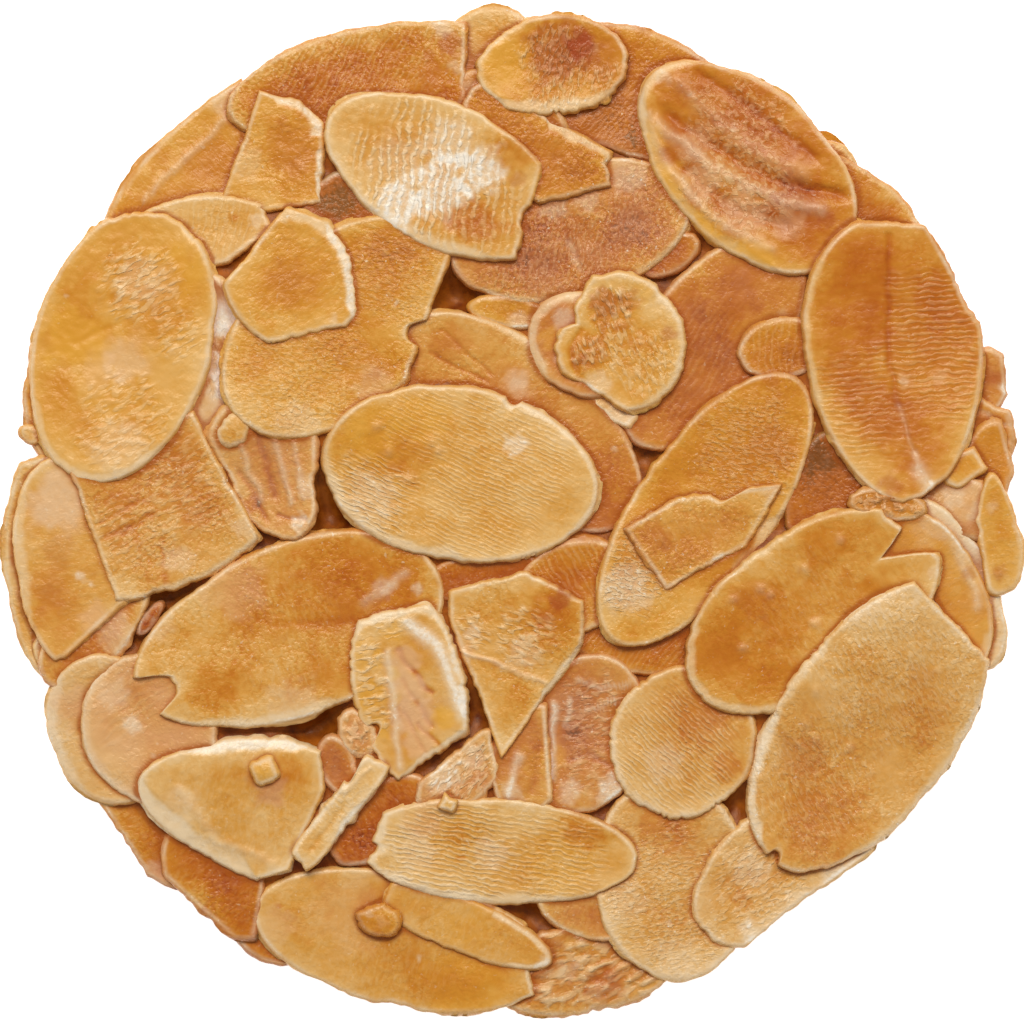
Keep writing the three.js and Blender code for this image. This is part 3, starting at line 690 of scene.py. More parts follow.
FIFTH_LAYER = [
    almond(
        "south_film", -4, -33.05, 15.6, 4.6, -22, 0.42, thick=0.7, grain=0.4, paling=0.4, cup=0.0,
        wave=0.06, frill=0.16, snaps=[(158, 6.6)], rims=[(-10, 40, 0.8, 0.2, 0.6)],
        spots=dict(pale=[(2.4, -36.2, 1, 0.4)], gold=[(-4, -33, 3, 0.2)]),
    ),
    almond(
        "centre_blush", -8.2, -14, 17, 9.2, -78, 0.36, grain=0.3, frill=0.22,
        snaps=[(-54, 5.7), (100, 6.4)], bites=[(-11.2, -17.6, 0.6)],
        scallops=[(190, 60, 1.1, 0.5), (20, 60, 1, 0.3)],
        rims=[(15, 75, 0.8, 0.3, 0.7), (100, 40, 0.9, 0.3, 0.5), (-66, 34, 0.7, 0.4, 0.6)],
        textures=[
            ("worms", 12, 0.9, 0.1, -11.8, -11.4, 1.8), ("worms", 12, 0.9, 0.1, -11.4, -14, 1.8),
            ("worms", 12, 0.9, 0.08, -10.8, -16.4, 1.4), ("worms", 60, 0.8, 0.06, -9.6, -8.6, 1.8),
        ],
        creases=[
            *path([(-9.9, -11.2), (-9.6, -14.3), (-9.2, -17.8), (-8.9, -20.4)], 0.6, -0.1, -0.5),
            *path([(-8.4, -8.8), (-6, -10.6), (-4.9, -13), (-4.1, -16)], 1, -0.08, -0.8),
            (-9.1, -11.2, -6.5, -14.3, 0.5, 0.1, 0.4), (-7.4, -16.9, -5.5, -19, 0.4, 0.08, 0.3),
            (-8.8, -13.4, -6.4, -17, 0.4, 0.08, 0.25), (-8.6, -16, -7, -19.2, 0.4, 0.06, 0.2),
            *path([(-10.2, -11.2), (-9.9, -14.5), (-9.5, -18)], 0.5, 0.1, 0.1),
        ],
        spots=dict(
            pale=[(-7.8, -15, 2.4, 0.15)], toast=[(-7.6, -16, 2.4, 0.12)],
            blush=[
                (-8.5, -11.8, 1.5, 0.9), (-8, -14, 1.7, 0.9), (-7.6, -16.4, 1.8, 0.9),
                (-7.5, -18.4, 1.6, 0.9),
            ],
            gold=[
                (-11.6, -11.4, 1.8, 0.5), (-11.4, -14.6, 1.6, 0.5), (-5.4, -16.2, 1.3, 0.8),
                (-10.6, -17.4, 1.2, 0.6), (-9.6, -9.4, 1.2, 0.5),
            ],
        ),
    ),
    almond(
        "centre_shard", 0.3, -11, 19, 14, -95, 0.45, shade=(40, 0.08),
        snaps=[(105, 6), (64, 6.1), (180, 5.4), (201, 4.2), (0, 5.6), (-20, 5), (-37, 4.3)],
        rims=[(-28, 45, 0.7, 0.5, 0.6), (20, 40, 0.5, 0.3, 0.4)],
        textures=[("worms", -15, 0.8, 0.06, 1, -10, 3), ("worms", -30, 0.8, 0.06, -3, -9.6, 1.8)],
        creases=[(-4.2, -11, -0.6, -12.4, 0.4, -0.1, -0.4), (-0.6, -12.4, 2.6, -13.6, 0.4, -0.1, -0.3)],
        spots=dict(
            toast=[(3, -7.2, 2, 0.1), (0, -16, 2.5, 0.06)], burn=[(3.9, -6.9, 1.2, 0.6)],
            pale=[(-3.2, -9.6, 1, 0.5), (1, -11.2, 1.6, 0.25)], blush=[(-4, -11, 1.3, 0.7)],
        ),
    ),
    almond(
        "north_pale", -5.7, 27, 20.3, 11.6, 153, 0.38, tip=0.08, grain=0.3, snaps=[(-16, 7.7)],
        bites=[(2.6, 22.9, 2)], rims=[(255, 55, 1.3, 0.25, 0.35)],
        textures=[("beads", 82, 0.68, 0.072, -7, 27, 6.5), ("beads", 82, 0.68, 0.048, -2, 24, 4)],
        # The first four pale spots are a painted highlight, the white sheen on the beaded ridges.
        spots=dict(
            pale=[
                (-8.9, 24.6, 2.5, 0.8), (-5.6, 25.8, 2.9, 0.7), (-2.6, 27.2, 2.3, 0.85),
                (-5, 29.6, 2.4, 0.5), (-9, 28, 2.6, 0.25),
            ],
            burn=[(0.4, 26.5, 1, 0.3)],
            toast=[(-3.2, 23.4, 2.4, 0.14), (-12.6, 30, 3, 0.04), (0, 28.6, 2, 0.1)],
        ),
    ),
    almond(
        "north_burnt", 3.2, 35.6, 12.4, 8.4, 8, 0.59, gold=0.25, grain=0.5, cup=0.3, frill=0.2,
        scallops=[(-45, 60, 0.8, 0.5)], rims=[(275, 75, 1.4, 0.3, 0.45), (170, 60, 0.8, 0.25, 0.1)],
        textures=[
            ("worms", 78, 0.6, 0.06, 3.5, 32.8, 2.4), ("lumps", 0, 0.9, 0.08, 3.6, 36.2, 3.2),
            ("worms", 30, 0.6, 0.06, 7.6, 34.4, 1.8),
        ],
        # The pale spot and the blush spots are painted highlights, pinkish-white on the glaze.
        spots=dict(
            toast=[(3.8, 36.8, 3, 0.2)], burn=[(5.7, 37.2, 1.7, 0.55), (4, 36.6, 3, 0.4)],
            pale=[(6.1, 37.7, 0.4, 0.4)],
            blush=[(6.4, 37.2, 0.8, 0.9), (4.2, 37.9, 0.5, 0.9), (2.4, 37.4, 0.5, 0.6)],
            gold=[(-0.6, 36, 2.4, 0.4)],
        ),
    ),
    almond(
        "east_grooved", 18.7, 27.7, 21.3, 12.9, 136, 0.62, tip=0.06, thick=1.6, grain=0.3, cup=0.15,
        wave=0.06, rims=[(215, 80, 1.4, 0.55, 0.0), (40, 75, 0.5, 0.3, 0.15), (140, 30, 0.9, 0.4, 0.35)],
        textures=[
            ("lumps", -40, 0.8, 0.045, 18, 30, 5), ("lumps", -30, 0.8, 0.05, 18.6, 25.8, 4.6),
            ("worms", 30, 0.7, 0.04, 15.4, 26.4, 3),
        ],
        creases=[
            *path([(12.6, 31.7), (15.5, 29.6), (18.7, 27.5), (22, 26.1), (26.2, 25.2)], 1.2, 0.34, 0.16),
            *path([(12.2, 28.4), (15.3, 26), (18, 24.1), (21.6, 22.9)], 1.2, 0.26, 0.1),
            *path([(13.4, 34.2), (14.9, 32.5), (17.6, 30.2), (19.9, 28.4), (23.3, 27)], 1.2, -0.2, -0.12),
            *path([(11.6, 31), (15.5, 27.9), (19.1, 26), (21.6, 24.8), (24.8, 24)], 1.1, -0.2, -0.25),
            *path([(15, 35), (18.4, 32.8), (21.6, 30.4), (24.2, 28)], 0.8, 0.16, 0.12),
            *path([(10.8, 31.6), (12, 28.4), (14.2, 25.2), (17.2, 22.7), (20.6, 21)], 0.8, -0.12, -0.25),
        ],
        # The first two pale spots are painted highlights on the lumpy ridge.
        spots=dict(
            pale=[(14.3, 33.3, 0.5, 0.35), (17.6, 30.6, 0.5, 0.3), (12, 34.8, 1, 0.4)],
            burn=[(25.2, 23.3, 1, 0.5), (16.4, 31.4, 1, 0.15)], toast=[(20, 31, 4, 0.06)],
            blush=[(14.6, 29.6, 1.8, 0.4), (15, 26.2, 2, 0.6), (18.6, 24, 2.2, 0.6), (22, 23, 1.6, 0.5)],
            gold=[
                (11, 30, 1.6, 0.5), (12.6, 26.4, 1.8, 0.6), (15.4, 22.8, 2, 0.6), (19.4, 20.2, 2.2, 0.6),
            ],
        ),
    ),
]

TOP_LAYER = [
    almond(
        "east_upright", 30.5, 12.2, 23.2, 14.4, -85, 0.6, tip=0.15, grain=0.25,
        snaps=[(30, 7.6), (91, 11)], rims=[(170, 60, 0.8, 0.2, 0.25), (0, 60, 0.6, 0.25, 0.35)],
        textures=[("lines", 3, 0.46, 0.035, 34.5, 13.4, 7), ("worms", 10, 0.5, 0.03, 27, 8, 5)],
        creases=[
            *path([(30, 22), (30, 13), (30.7, 8.6)], 0.5, 0.14, 0.12),
            *path([(30.7, 8.6), (31.9, 4.7)], 0.4, 0.1, -0.15), (31.9, 4.7, 32.4, 3.4, 0.6, 0.04, -0.4),
            (32.4, 3.4, 32.9, 2.2, 1.1, 0.04, -0.5),
        ],
        # The first pale spot is a painted glint at the lower tip.
        spots=dict(
            burn=[(30, 2.2, 1.2, 0.4)], pale=[(33.3, 2.4, 0.4, 0.6), (31.2, 10.4, 0.6, 0.25)],
            toast=[(28, 6.5, 2.5, 0.05)], blush=[(31.2, 10.4, 0.9, 0.5), (34, 10.6, 0.9, 0.4)],
        ),
    ),
    almond(
        "west_oval", -31.1, 13.2, 22.6, 14.4, 254, 0.42, tip=0.05, gold=0.3, shade=(110, 0.1), grain=0.25,
        scallops=[(80, 60, 1, 0.25)], rims=[(10, 70, 0.7, 0.25, 0.25), (250, 50, 0.9, 0.3, 0.3)],
        textures=[
            ("worms", 30, 0.8, 0.07, -29.6, 18.2, 3.6), ("worms", 20, 0.9, 0.05, -26.4, 14, 2.2),
            ("worms", 10, 0.7, 0.04, -31, 7, 4.5),
        ],
        creases=[(-35, 13.4, -31, 15.4, 0.5, 0.04, 0.1)],
        spots=dict(
            toast=[
                (-34, 16, 3, 0.1), (-26.2, 17.5, 1.6, 0.06), (-36, 10, 2, 0.06), (-30, 9.6, 1.6, 0.05),
            ],
            pale=[(-31, 12, 2, 0.2), (-31, 5, 3, 0.25), (-35.6, 17.2, 0.4, 0.4), (-29.4, 18.4, 2.6, 0.2)],
            blush=[(-30.5, 12.2, 2.4, 0.6), (-33, 11.2, 2, 0.4)],
            gold=[(-35, 14, 3, 0.5), (-27, 19, 3, 0.4)],
        ),
    ),
    almond(
        "centre_oval", -4.1, 3, 22.4, 14.2, -9, 0.33, tip=0.04, gold=0.1, shade=(140, 0.1), grain=0.4,
        bites=[(0.3, 9.3, 0.75)], rims=[(222, 60, 1.2, 0.3, 0.3), (20, 60, 0.7, 0.25, 0.5)],
        textures=[
            ("lines", -24, 0.34, 0.04, -1, 4, 6.5), ("lines", -24, 0.34, 0.03, -7, 7.4, 4),
            ("worms", -30, 0.8, 0.072, -11.5, 0.8, 4.5), ("lines", -20, 0.34, 0.035, -3, -1, 5),
        ],
        creases=drops(
            [(-5.9, 4.9), (-10.9, 6.9), (-9.8, 4.8), (-8.2, 2.7), (-6.4, 5.6)], 0.8, 0.14, -0.12,
        ),
        # The first pale spot is a painted highlight.
        spots=dict(
            pale=[(0.4, 5.4, 1.3, 0.7), (-11.5, 1.2, 2.6, 0.3)],
            toast=[(-12, 6.2, 3, 0.12), (-8, 4.4, 3, 0.1), (-2, 9.2, 2, 0.1), (4, 0.6, 1.6, 0.08)],
            gold=[(-11, 6, 3, 0.5), (-7, 7.6, 2.4, 0.4)],
        ),
    ),
    almond(
        "south_east_large", 28.4, -17.1, 27, 14.6, 55, 0.39, blush=0.15, shade=(250, 0.1), grain=0.7,
        snaps=[(45, 10.7)], bites=[(20.7, -27.9, 0.6)], scallops=[(150, 50, 0.9, 0.2)],
        rims=[(160, 55, 1, 0.25, 0.25), (200, 34, 1.2, 0.5, 0.7), (-45, 70, 0.9, 0.3, 0.2)],
        textures=[("worms", -62, 0.5, 0.03, 30, -13, 7), ("worms", -62, 0.5, 0.03, 24, -22, 6)],
        creases=drops(
            [(22.9, -18.7), (24, -18), (26.9, -18.9), (24.3, -14.4), (23.4, -17)], 0.7, 0.12, -0.1,
        ),
        spots=dict(
            burn=[(32.5, -13, 1.3, 0.15), (23, -19.4, 2.4, 0.2)],
            toast=[(26, -25, 4, 0.1), (28, -8.5, 3, -0.08)], pale=[(27, -17, 0.4, 0.2)],
        ),
    ),
    almond(
        "south_ridged", -1.2, -27.1, 22.8, 8.8, -4, 0.33, shade=(30, 0.12), grain=0.5, snaps=[(160, 9.7)],
        bites=[(-11.6, -26.8, 0.7)], rims=[(268, 75, 1.1, 0.45, 0.35), (185, 30, 1, 0.2, 0.4)],
        textures=[("lines", -11, 0.4, 0.06, -4.6, -27.4, 6), ("worms", -11, 0.5, 0.04, 3, -27.6, 5)],
        spots=dict(
            pale=[(-1.6, -27.2, 1.6, 0.35), (-7.6, -27, 2, 0.3)],
            toast=[(-4.1, -27.6, 0.7, 0.2), (6, -25.2, 2.2, 0.16), (-7, -24.2, 1.8, 0.1)],
            blush=[(-7, -24.6, 2, 0.5)], gold=[(4, -28.4, 3, 0.3)],
        ),
    ),
    almond(
        "south_west_oval", -20.8, -23.4, 18.5, 11.4, 168, 0.32, tip=0.3, thick=1.5, shade=(20, 0.1),
        grain=0.35, snaps=[(3, 6), (90, 5.5), (-24, 4.9), (-70, 5.9)],
        rims=[(92, 55, 1.25, 0.5, 0.95), (220, 60, 2.4, 0.7, 0.2)],
        creases=[
            (-26.6, -22, -23.4, -26.2, 0.8, -0.12, -0.15), (-23.4, -26.2, -19, -28, 0.8, -0.12, -0.15),
        ],
        spots=dict(
            burn=[(-19.6, -21.7, 1.8, 0.3)], pale=[(-26.4, -23.4, 1.8, 0.25)],
            toast=[(-22, -22, 2, 0.06), (-20.3, -26.8, 0.7, 0.1), (-17, -20.4, 1.5, 0.08)],
            blush=[(-19.2, -22.2, 1.5, 0.7)],
        ),
    ),
    almond(
        "south_stick", -13.7, -23.8, 13, 3.4, 52, 0.28, thick=1.5, wave=0.3, frill=0.26,
        snaps=[(64, 5), (218, 5.2), (142, 1.3), (-38, 1.3)], bites=[(-13, -20.9, 0.5)],
        rims=[(-38, 75, 0.8, 0.5, 0.9), (200, 40, 0.6, 0.3, 0.4)],
        creases=[
            (-16, -26.8, -13.4, -23.4, 0.5, 0.08, 0.12), (-13.4, -22.4, -11.4, -20.4, 0.4, -0.1, -0.2),
        ],
    ),
]

CRUMBS = [
    almond(
        "cube", -19.7, -20.6, 3, 2.6, 20, 0.4, gold=0.6, dome=0.6, frill=0.2,
        snaps=[(20, 1.1), (110, 1.1), (200, 1.1), (290, 1.1)],
    ),
    almond(
        "flake", -10.7, -32.4, 4, 3, -25, 0.6, gold=0.25, grain=0.6, paling=0.4, wave=0.3, dome=0.3,
        frill=0.2, snaps=[(20, 1.7), (110, 1.1), (215, 1.6)], bites=[(-9.2, -31, 0.8)],
        spots=dict(pale=[(-11.4, -32, 0.6, 0.3)], blush=[(-10.4, -32.6, 0.8, 0.5)]),
    ),
    almond(
        "grain", -5.1, -23.3, 2, 1.7, 80, 0.3, gold=0.5, dome=0.3,
        snaps=[(60, 0.7), (150, 0.7), (250, 0.6)],
    ),
]


def smooth(low, high, value):
    """0 below low, 1 above high, and a smooth rise between."""
    part = np.clip((value - low) / (high - low), 0, 1)
    return part * part * (3 - 2 * part)


def field(x, y, size, seed):
    """Smooth random heights from about -1 to 1, with lumps of about that size."""
    turns = np.random.default_rng(seed).random((FIELD_CELLS, FIELD_CELLS)) * 2 * math.pi
    px = np.asarray(x) / size + FIELD_SHIFT[0] * seed
    py = np.asarray(y) / size + FIELD_SHIFT[1] * seed
    column = np.floor(px).astype(int)
    row = np.floor(py).astype(int)
    fx = px - column
    fy = py - row

    def corner(dx, dy):
        angle = turns[(row + dy) % FIELD_CELLS, (column + dx) % FIELD_CELLS]
        return np.cos(angle) * (fx - dx) + np.sin(angle) * (fy - dy)

    ex = fx ** 3 * (fx * (fx * 6 - 15) + 10)
    ey = fy ** 3 * (fy * (fy * 6 - 15) + 10)
    low = corner(0, 0) * (1 - ex) + corner(1, 0) * ex
    high = corner(0, 1) * (1 - ex) + corner(1, 1) * ex
    return FIELD_GAIN * (low * (1 - ey) + high * ey)


def toward(bearing):
    """The unit vector along a bearing."""
    angle = math.radians(bearing)
    return np.array([math.cos(angle), math.sin(angle)])


def oval(row, t):
    """Points of the unbroken outline about the slice's middle, at the angles t."""
    u = row["long"] / 2 * np.cos(t)
    v = row["wide"] / 2 * np.sin(t) * (1 - row["tip"] * np.cos(t))
    c = math.cos(row["turn"])
    s = math.sin(row["turn"])
    return np.stack([u * c - v * s, u * s + v * c], -1)


def snapped(points, bearing, distance):
    """The points of a closed outline that lie within a straight break."""
    room = distance - points @ toward(bearing)
    kept = []
    for i, point in enumerate(points):
        j = (i + 1) % len(points)
        if room[i] >= 0:
            kept.append(point)
        if room[i] * room[j] < 0:
            kept.append(point + (points[j] - point) * room[i] / (room[i] - room[j]))
    return np.array(kept)


def solid_outline(row):
    """The plain outline by the solid part's rule: an oval with its straight breaks."""
    points = oval(row, np.arange(OUTLINE_POINTS) * 2 * math.pi / OUTLINE_POINTS)
    for bearing, distance in row["snaps"]:
        points = snapped(points, bearing, distance)
    return points


def inside(points, x, y):
    """Which of the places lie within the closed outline."""
    result = np.zeros(np.shape(x), bool)
    for a, b in zip(points, np.roll(points, -1, 0)):
        if a[1] == b[1]:
            continue
        crosses = (a[1] > y) != (b[1] > y)
        result ^= crosses & (x < a[0] + (y - a[1]) / (b[1] - a[1]) * (b[0] - a[0]))
    return result


def square_places(step):
    """The middles of a height map's squares."""
    places = -MAP_REACH + (np.arange(round(2 * MAP_REACH / step)) + 0.5) * step
    return np.meshgrid(places, places)


def resting_slope(dx, dy, heights):
    """The slope of the plane that rests on the high points: those under it hardly count."""
    if len(heights) < FLAT_BELOW:
        return np.zeros(2)
    rows = np.stack([dx, dy, np.ones_like(dx)], 1)
    plane = np.zeros(3)
    for step in range(FIT_PASSES):
        over = heights - rows @ plane
        weight = np.where((over > 0) | (step == 0), 1, FIT_BELOW)
        plane = np.linalg.solve((rows * weight[:, None]).T @ rows, rows.T @ (weight * heights))
    slope = plane[:2]
    return slope * min(1, STEEPEST / np.linalg.norm(slope))


def settle(rows):
    """Lowers each slice in turn onto those before it, and sets its slope and its lower face's height."""
    x, y = square_places(MAP_STEP)
    heights = np.where(np.hypot(x, y) < SHEET_RADIUS, BED_LEVEL, 0.0)
    for row in rows:
        points = solid_outline(row)
        dx = x - row["x"]
        dy = y - row["y"]
        under = inside(points, dx, dy)
        slope = resting_slope(dx[under], dy[under], heights[under])
        rise = slope[0] * dx[under] + slope[1] * dy[under]
        touch = max((heights[under] - rise).max(), BED_LEVEL)
        clear = (LOWEST - points @ slope).max()
        row["slope"] = slope
        row["level"] = max(touch - PRESS, clear)
        heights[under] = np.maximum(heights[under], rise + row["level"] + row["thick"])


def bearing_share(points, bearing, spread):
    """1 near a bearing from the slice's middle, falling to 0 at that many degrees from it."""
    angle = np.degrees(np.arctan2(points[..., 1], points[..., 0]))
    away = np.abs((angle - bearing + 180) % 360 - 180)
    return 1 - smooth(FULL_SPREAD * spread, spread, away)


def bitten(row, points, scale, bite):
    """The scale that keeps the outline out of a round bite."""
    length = np.linalg.norm(points, axis=-1)
    away = points / length[..., None]
    middle = np.array([bite[0] - row["x"], bite[1] - row["y"]])
    along = away @ middle
    beside = away[..., 0] * middle[1] - away[..., 1] * middle[0]
    meets = (np.abs(beside) < bite[2]) & (along > 0)
    reach = along - np.sqrt(np.maximum(bite[2] ** 2 - beside ** 2, 0))
    flare = (np.abs(beside) / bite[2]) ** BITE_FLARE
    reach = reach + flare * (length - reach)
    return np.where(meets, np.minimum(scale, np.maximum(reach, LEAST_RADIUS) / length), scale)


def torn(points, tear):
    """How deep a tear is at each point of the outline."""
    bearing, before, after, depth = tear
    angle = np.degrees(np.arctan2(points[..., 1], points[..., 0]))
    away = (angle - bearing + 180) % 360 - 180
    return depth * np.clip(1 - np.where(away < 0, -away / before, away / after), 0, 1)


def outline_scale(row, points):
    """How much of the unbroken outline's radius is left at each of its points."""
    length = np.linalg.norm(points, axis=-1)
    scale = np.ones_like(length)
    for bearing, distance in row["snaps"]:
        along = points @ toward(bearing)
        scale = np.where(along > distance, np.minimum(scale, distance / np.maximum(along, distance)), scale)
    for bite in row["bites"]:
        scale = bitten(row, points, scale, bite)
    for tear in row["tears"]:
        scale = scale - torn(points, tear) / length
    return scale * (1 + fray(row, points * scale[..., None], scale < WHOLE) / length)


def fray(row, points, broken):
    """How far the outline wanders out or in."""
    x = points[..., 0]
    y = points[..., 1]
    seed = row["seed"]
    frill = field(x, y, FRILL_LUMPS, seed) + FINE_FRILL * field(x, y, FINE_FRILL_LUMPS, seed + 1)
    wander = row["frill"] * frill
    wander = wander + BROAD_FRAY * field(x, y, BROAD_LUMPS, seed + 18) * min(1, row["wide"] / BROAD_WIDTH)
    wander = wander + BREAK_FRAY * field(x, y, BREAK_LUMPS, seed + 19) * broken
    for bearing, spread, spacing, depth in row["scallops"]:
        place = np.arctan2(y, x) * row["wide"] / 2 + TOOTH_WANDER * field(x, y, TOOTH_LUMPS, seed + 1)
        kept = smooth(-0.6, 0.4, field(x, y, TOOTH_GAPS, seed + 2))
        notch = (1 - np.abs(np.sin(math.pi * place / spacing))) * kept
        wander = wander - TOOTH_DEPTH * depth * notch * bearing_share(points, bearing, spread)
    return wander


def grid_lines(half, cell):
    """Places from -1 to 1 across a slice, closer together at the border."""
    count = max(FEWEST_CELLS, round(2 * half / cell))
    rims = [1 - min(width / half, RIM_SHARE) for width in RIM_CELLS]
    inner = np.linspace(-rims[1], rims[1], count)
    return np.concatenate([[-1, -rims[0]], inner, [rims[0], 1]])


def disc(a, b):
    """Radius and angle on a round disc for places on a square, from -1 to 1 each way."""
    flat = np.abs(a) > np.abs(b)
    safe_a = np.where(a == 0, 1, a)
    safe_b = np.where(b == 0, 1, b)
    radius = np.where(flat, a, b)
    angle = np.where(flat, math.pi / 4 * b / safe_a, math.pi / 2 - math.pi / 4 * a / safe_b)
    return np.abs(radius), angle + math.pi * (radius < 0)


def pressed(radius, scale):
    """Radius of each point after the border is pressed in, which leaves the slice's middle as it was."""
    deepest = max(1 - scale.min(), LEAST_PRESS)
    power = np.clip(1 / deepest - PRESS_MARGIN, 0, PRESS_POWER)
    return radius * (1 - (1 - scale) * radius ** power)


def edge_distance(row, points, radius, scale, t):
    """How far each point is from the natural outline and from the nearest break."""
    a = row["long"] / 2
    b = row["wide"] / 2
    tangent = a * b / np.hypot(b * np.cos(t), a * np.sin(t))
    ray = (scale - radius) * np.linalg.norm(oval(row, t), axis=-1)
    natural = np.minimum((1 - radius) * tangent, ray)
    broken = np.full_like(natural, np.inf)
    for bearing, distance in row["snaps"]:
        broken = np.minimum(broken, distance - points @ toward(bearing))
    return np.maximum(natural, 0), np.maximum(np.minimum(broken, ray + BREAK_REACH), 0)


def rounded(distance, radius):
    """How far a rounded edge of that radius lies below the face, at a distance from the outline."""
    left = radius - np.minimum(distance, radius)
    return radius - np.sqrt(radius * radius - left * left)


def line_bend(along, across, seed):
    """How far lines wander sideways, as a share of their spacing."""
    (broad, broad_lumps), (fine, fine_lumps) = LINE_BENDS
    bend = broad * field(along, across, broad_lumps, seed + 2)
    return bend + fine * field(along, across, fine_lumps, seed + 3)


def along_across(x, y, bearing):
    """Places along a bearing and to the left of it."""
    forward = toward(bearing)
    return x * forward[0] + y * forward[1], -x * forward[1] + y * forward[0]


def texture_crest(kind, along, across, spacing, seed):
    """Crests from 0 to 1 of one kind of fine relief."""
    if kind == "worms":
        wind = across + WORM_WIND * field(along, across, WORM_BENDS, seed + 3)
        return smooth(0.05, 0.45, field(along / WORM_STRETCH, wind, WORM_WIDTH * spacing, seed + 2))
    if kind == "lumps":
        return smooth(0.05, 0.5, field(along / LUMP_STRETCH, across, LUMP_WIDTH * spacing, seed + 2))
    crest = 0.5 + 0.5 * np.sin(2 * math.pi * (across / spacing + line_bend(along, across, seed)))
    if kind == "beads":
        stitch = smooth(-0.35, 0.35, field(along, BEAD_SQUASH * across, LUMP_WIDTH * spacing, seed + 5))
        return crest * (BEAD_LEAST + (1 - BEAD_LEAST) * stitch)
    kept = smooth(-0.25, 0.35, field(along / 2, across, LINE_GAPS, seed + 5))
    return LINE_SHARE * crest ** LINE_POWER * kept


def texture(row, x, y):
    """Height of the fine relief, its crests from 0 to 1 and how strongly each place is ridged."""
    height = np.zeros_like(x)
    crests = np.zeros_like(x)
    ridges = np.zeros_like(x)
    for i, (kind, bearing, spacing, depth, px, py, reach) in enumerate(row["textures"]):
        seed = row["seed"] + 2 * SEEDS_APART * i
        along, across = along_across(x, y, bearing)
        away = np.hypot(x + row["x"] - px, y + row["y"] - py) / reach
        away = away + PATCH_RAGGED * field(x, y, PATCH_RAGGED * reach, seed + 4)
        share = 1 - smooth(*PATCH_FADE, away)
        crest = texture_crest(kind, along, across, spacing, seed) * share
        height = np.maximum(height, depth * crest)
        crests = np.maximum(crests, crest * min(1, depth / FULL_CREST))
        ridges = np.maximum(ridges, share * min(1, depth / FULL_RIDGE))
    return height, crests, ridges


def crease_share(row, x, y, crease):
    """How much each point belongs to a crease."""
    x0, y0, x1, y1, width = crease[:5]
    px = x + row["x"] - x0 + CREASE_WANDER * field(x, y, CREASE_LUMPS, row["seed"] + 6)
    py = y + row["y"] - y0 + CREASE_WANDER * field(x, y, CREASE_LUMPS, row["seed"] + 7)
    run = np.array([x1 - x0, y1 - y0])
    along = np.clip((px * run[0] + py * run[1]) / (run @ run), 0, 1)
    away = np.hypot(px - along * run[0], py - along * run[1])
    return np.exp(-(2 * away / width) ** 2)


def crease_marks(row, x, y, which):
    """The strongest positive and negative value of one number of the creases, at each point."""
    positive = np.zeros_like(x)
    negative = np.zeros_like(x)
    for crease in row["creases"]:
        value = crease[which] * crease_share(row, x, y, crease)
        positive = np.maximum(positive, value)
        negative = np.maximum(negative, -value)
    return positive, negative


def rim_share(row, points, edge, rim):
    """How much each point belongs to a bevelled border."""
    lumps = field(points[..., 0], points[..., 1], BEVEL_LUMPS, row["seed"] + 8)
    reach = rim[2] * (1 + BEVEL_WANDER * lumps) * bearing_share(points, rim[0], rim[1])
    return np.clip(1 - edge / np.maximum(reach, BEVEL_LEAST), 0, 1)


def upper_face(row, points, radius, edge, broken):
    """Height of the upper face over the lower one, the crests of its relief and where it is ridged."""
    x = points[..., 0]
    y = points[..., 1]
    seed = row["seed"]
    nearest = np.minimum(edge, broken)
    inner = smooth(*RELIEF_BORDER, nearest)
    relief, crests, ridges = texture(row, x, y)
    height = row["thick"] + row["dome"] * (1 - radius ** 2) + row["cup"] * (radius ** 2 - CUP_LEVEL)
    height = height + row["wave"] * field(x, y, WAVE_LUMPS, seed + 9)
    height = height + (COARSE_LEAST + COARSE_GRAIN * row["grain"]) * field(x, y, COARSE_LUMPS, seed + 10)
    height = height + relief * inner + FINE_HEIGHT * field(x, y, FINE_LUMPS, seed + 11)
    dip, lift = crease_marks(row, x, y, CREASE_DEPTH)
    height = height - dip + lift
    for rim in row["rims"]:
        height = height - BEVEL_DROP * rim[3] * rim_share(row, points, nearest, rim)
    height = np.maximum(height, (1 - DEEPEST_DIP) * row["thick"])
    height = height - np.maximum(rounded(edge, EDGE_ROUND), rounded(broken, BROKEN_ROUND))
    return height, crests * inner, ridges * inner


def spot_fade(reach):
    """Where a spot starts to fade and where it ends, as shares of its reach: small spots end sooner."""
    return min(0.5, 0.35 * reach), min(1.05, 0.5 + 0.4 * reach)


def spot_amount(row, kind, x, y):
    """Sum of the row's spots of one kind, with ragged borders."""
    seed = row["seed"]
    total = np.zeros_like(x)
    for sx, sy, reach, amount in row["spots"].get(kind, ()):
        away = np.hypot(x + row["x"] - sx, y + row["y"] - sy) / reach
        away = away + SPOT_RAGGED * field(x, y, 0.45 * reach + 0.2, seed + 12)
        away = away + SPOT_FRAY * field(x, y, FINE_LUMPS, seed + 4)
        total = total + amount * (1 - smooth(*spot_fade(reach), away))
    return total


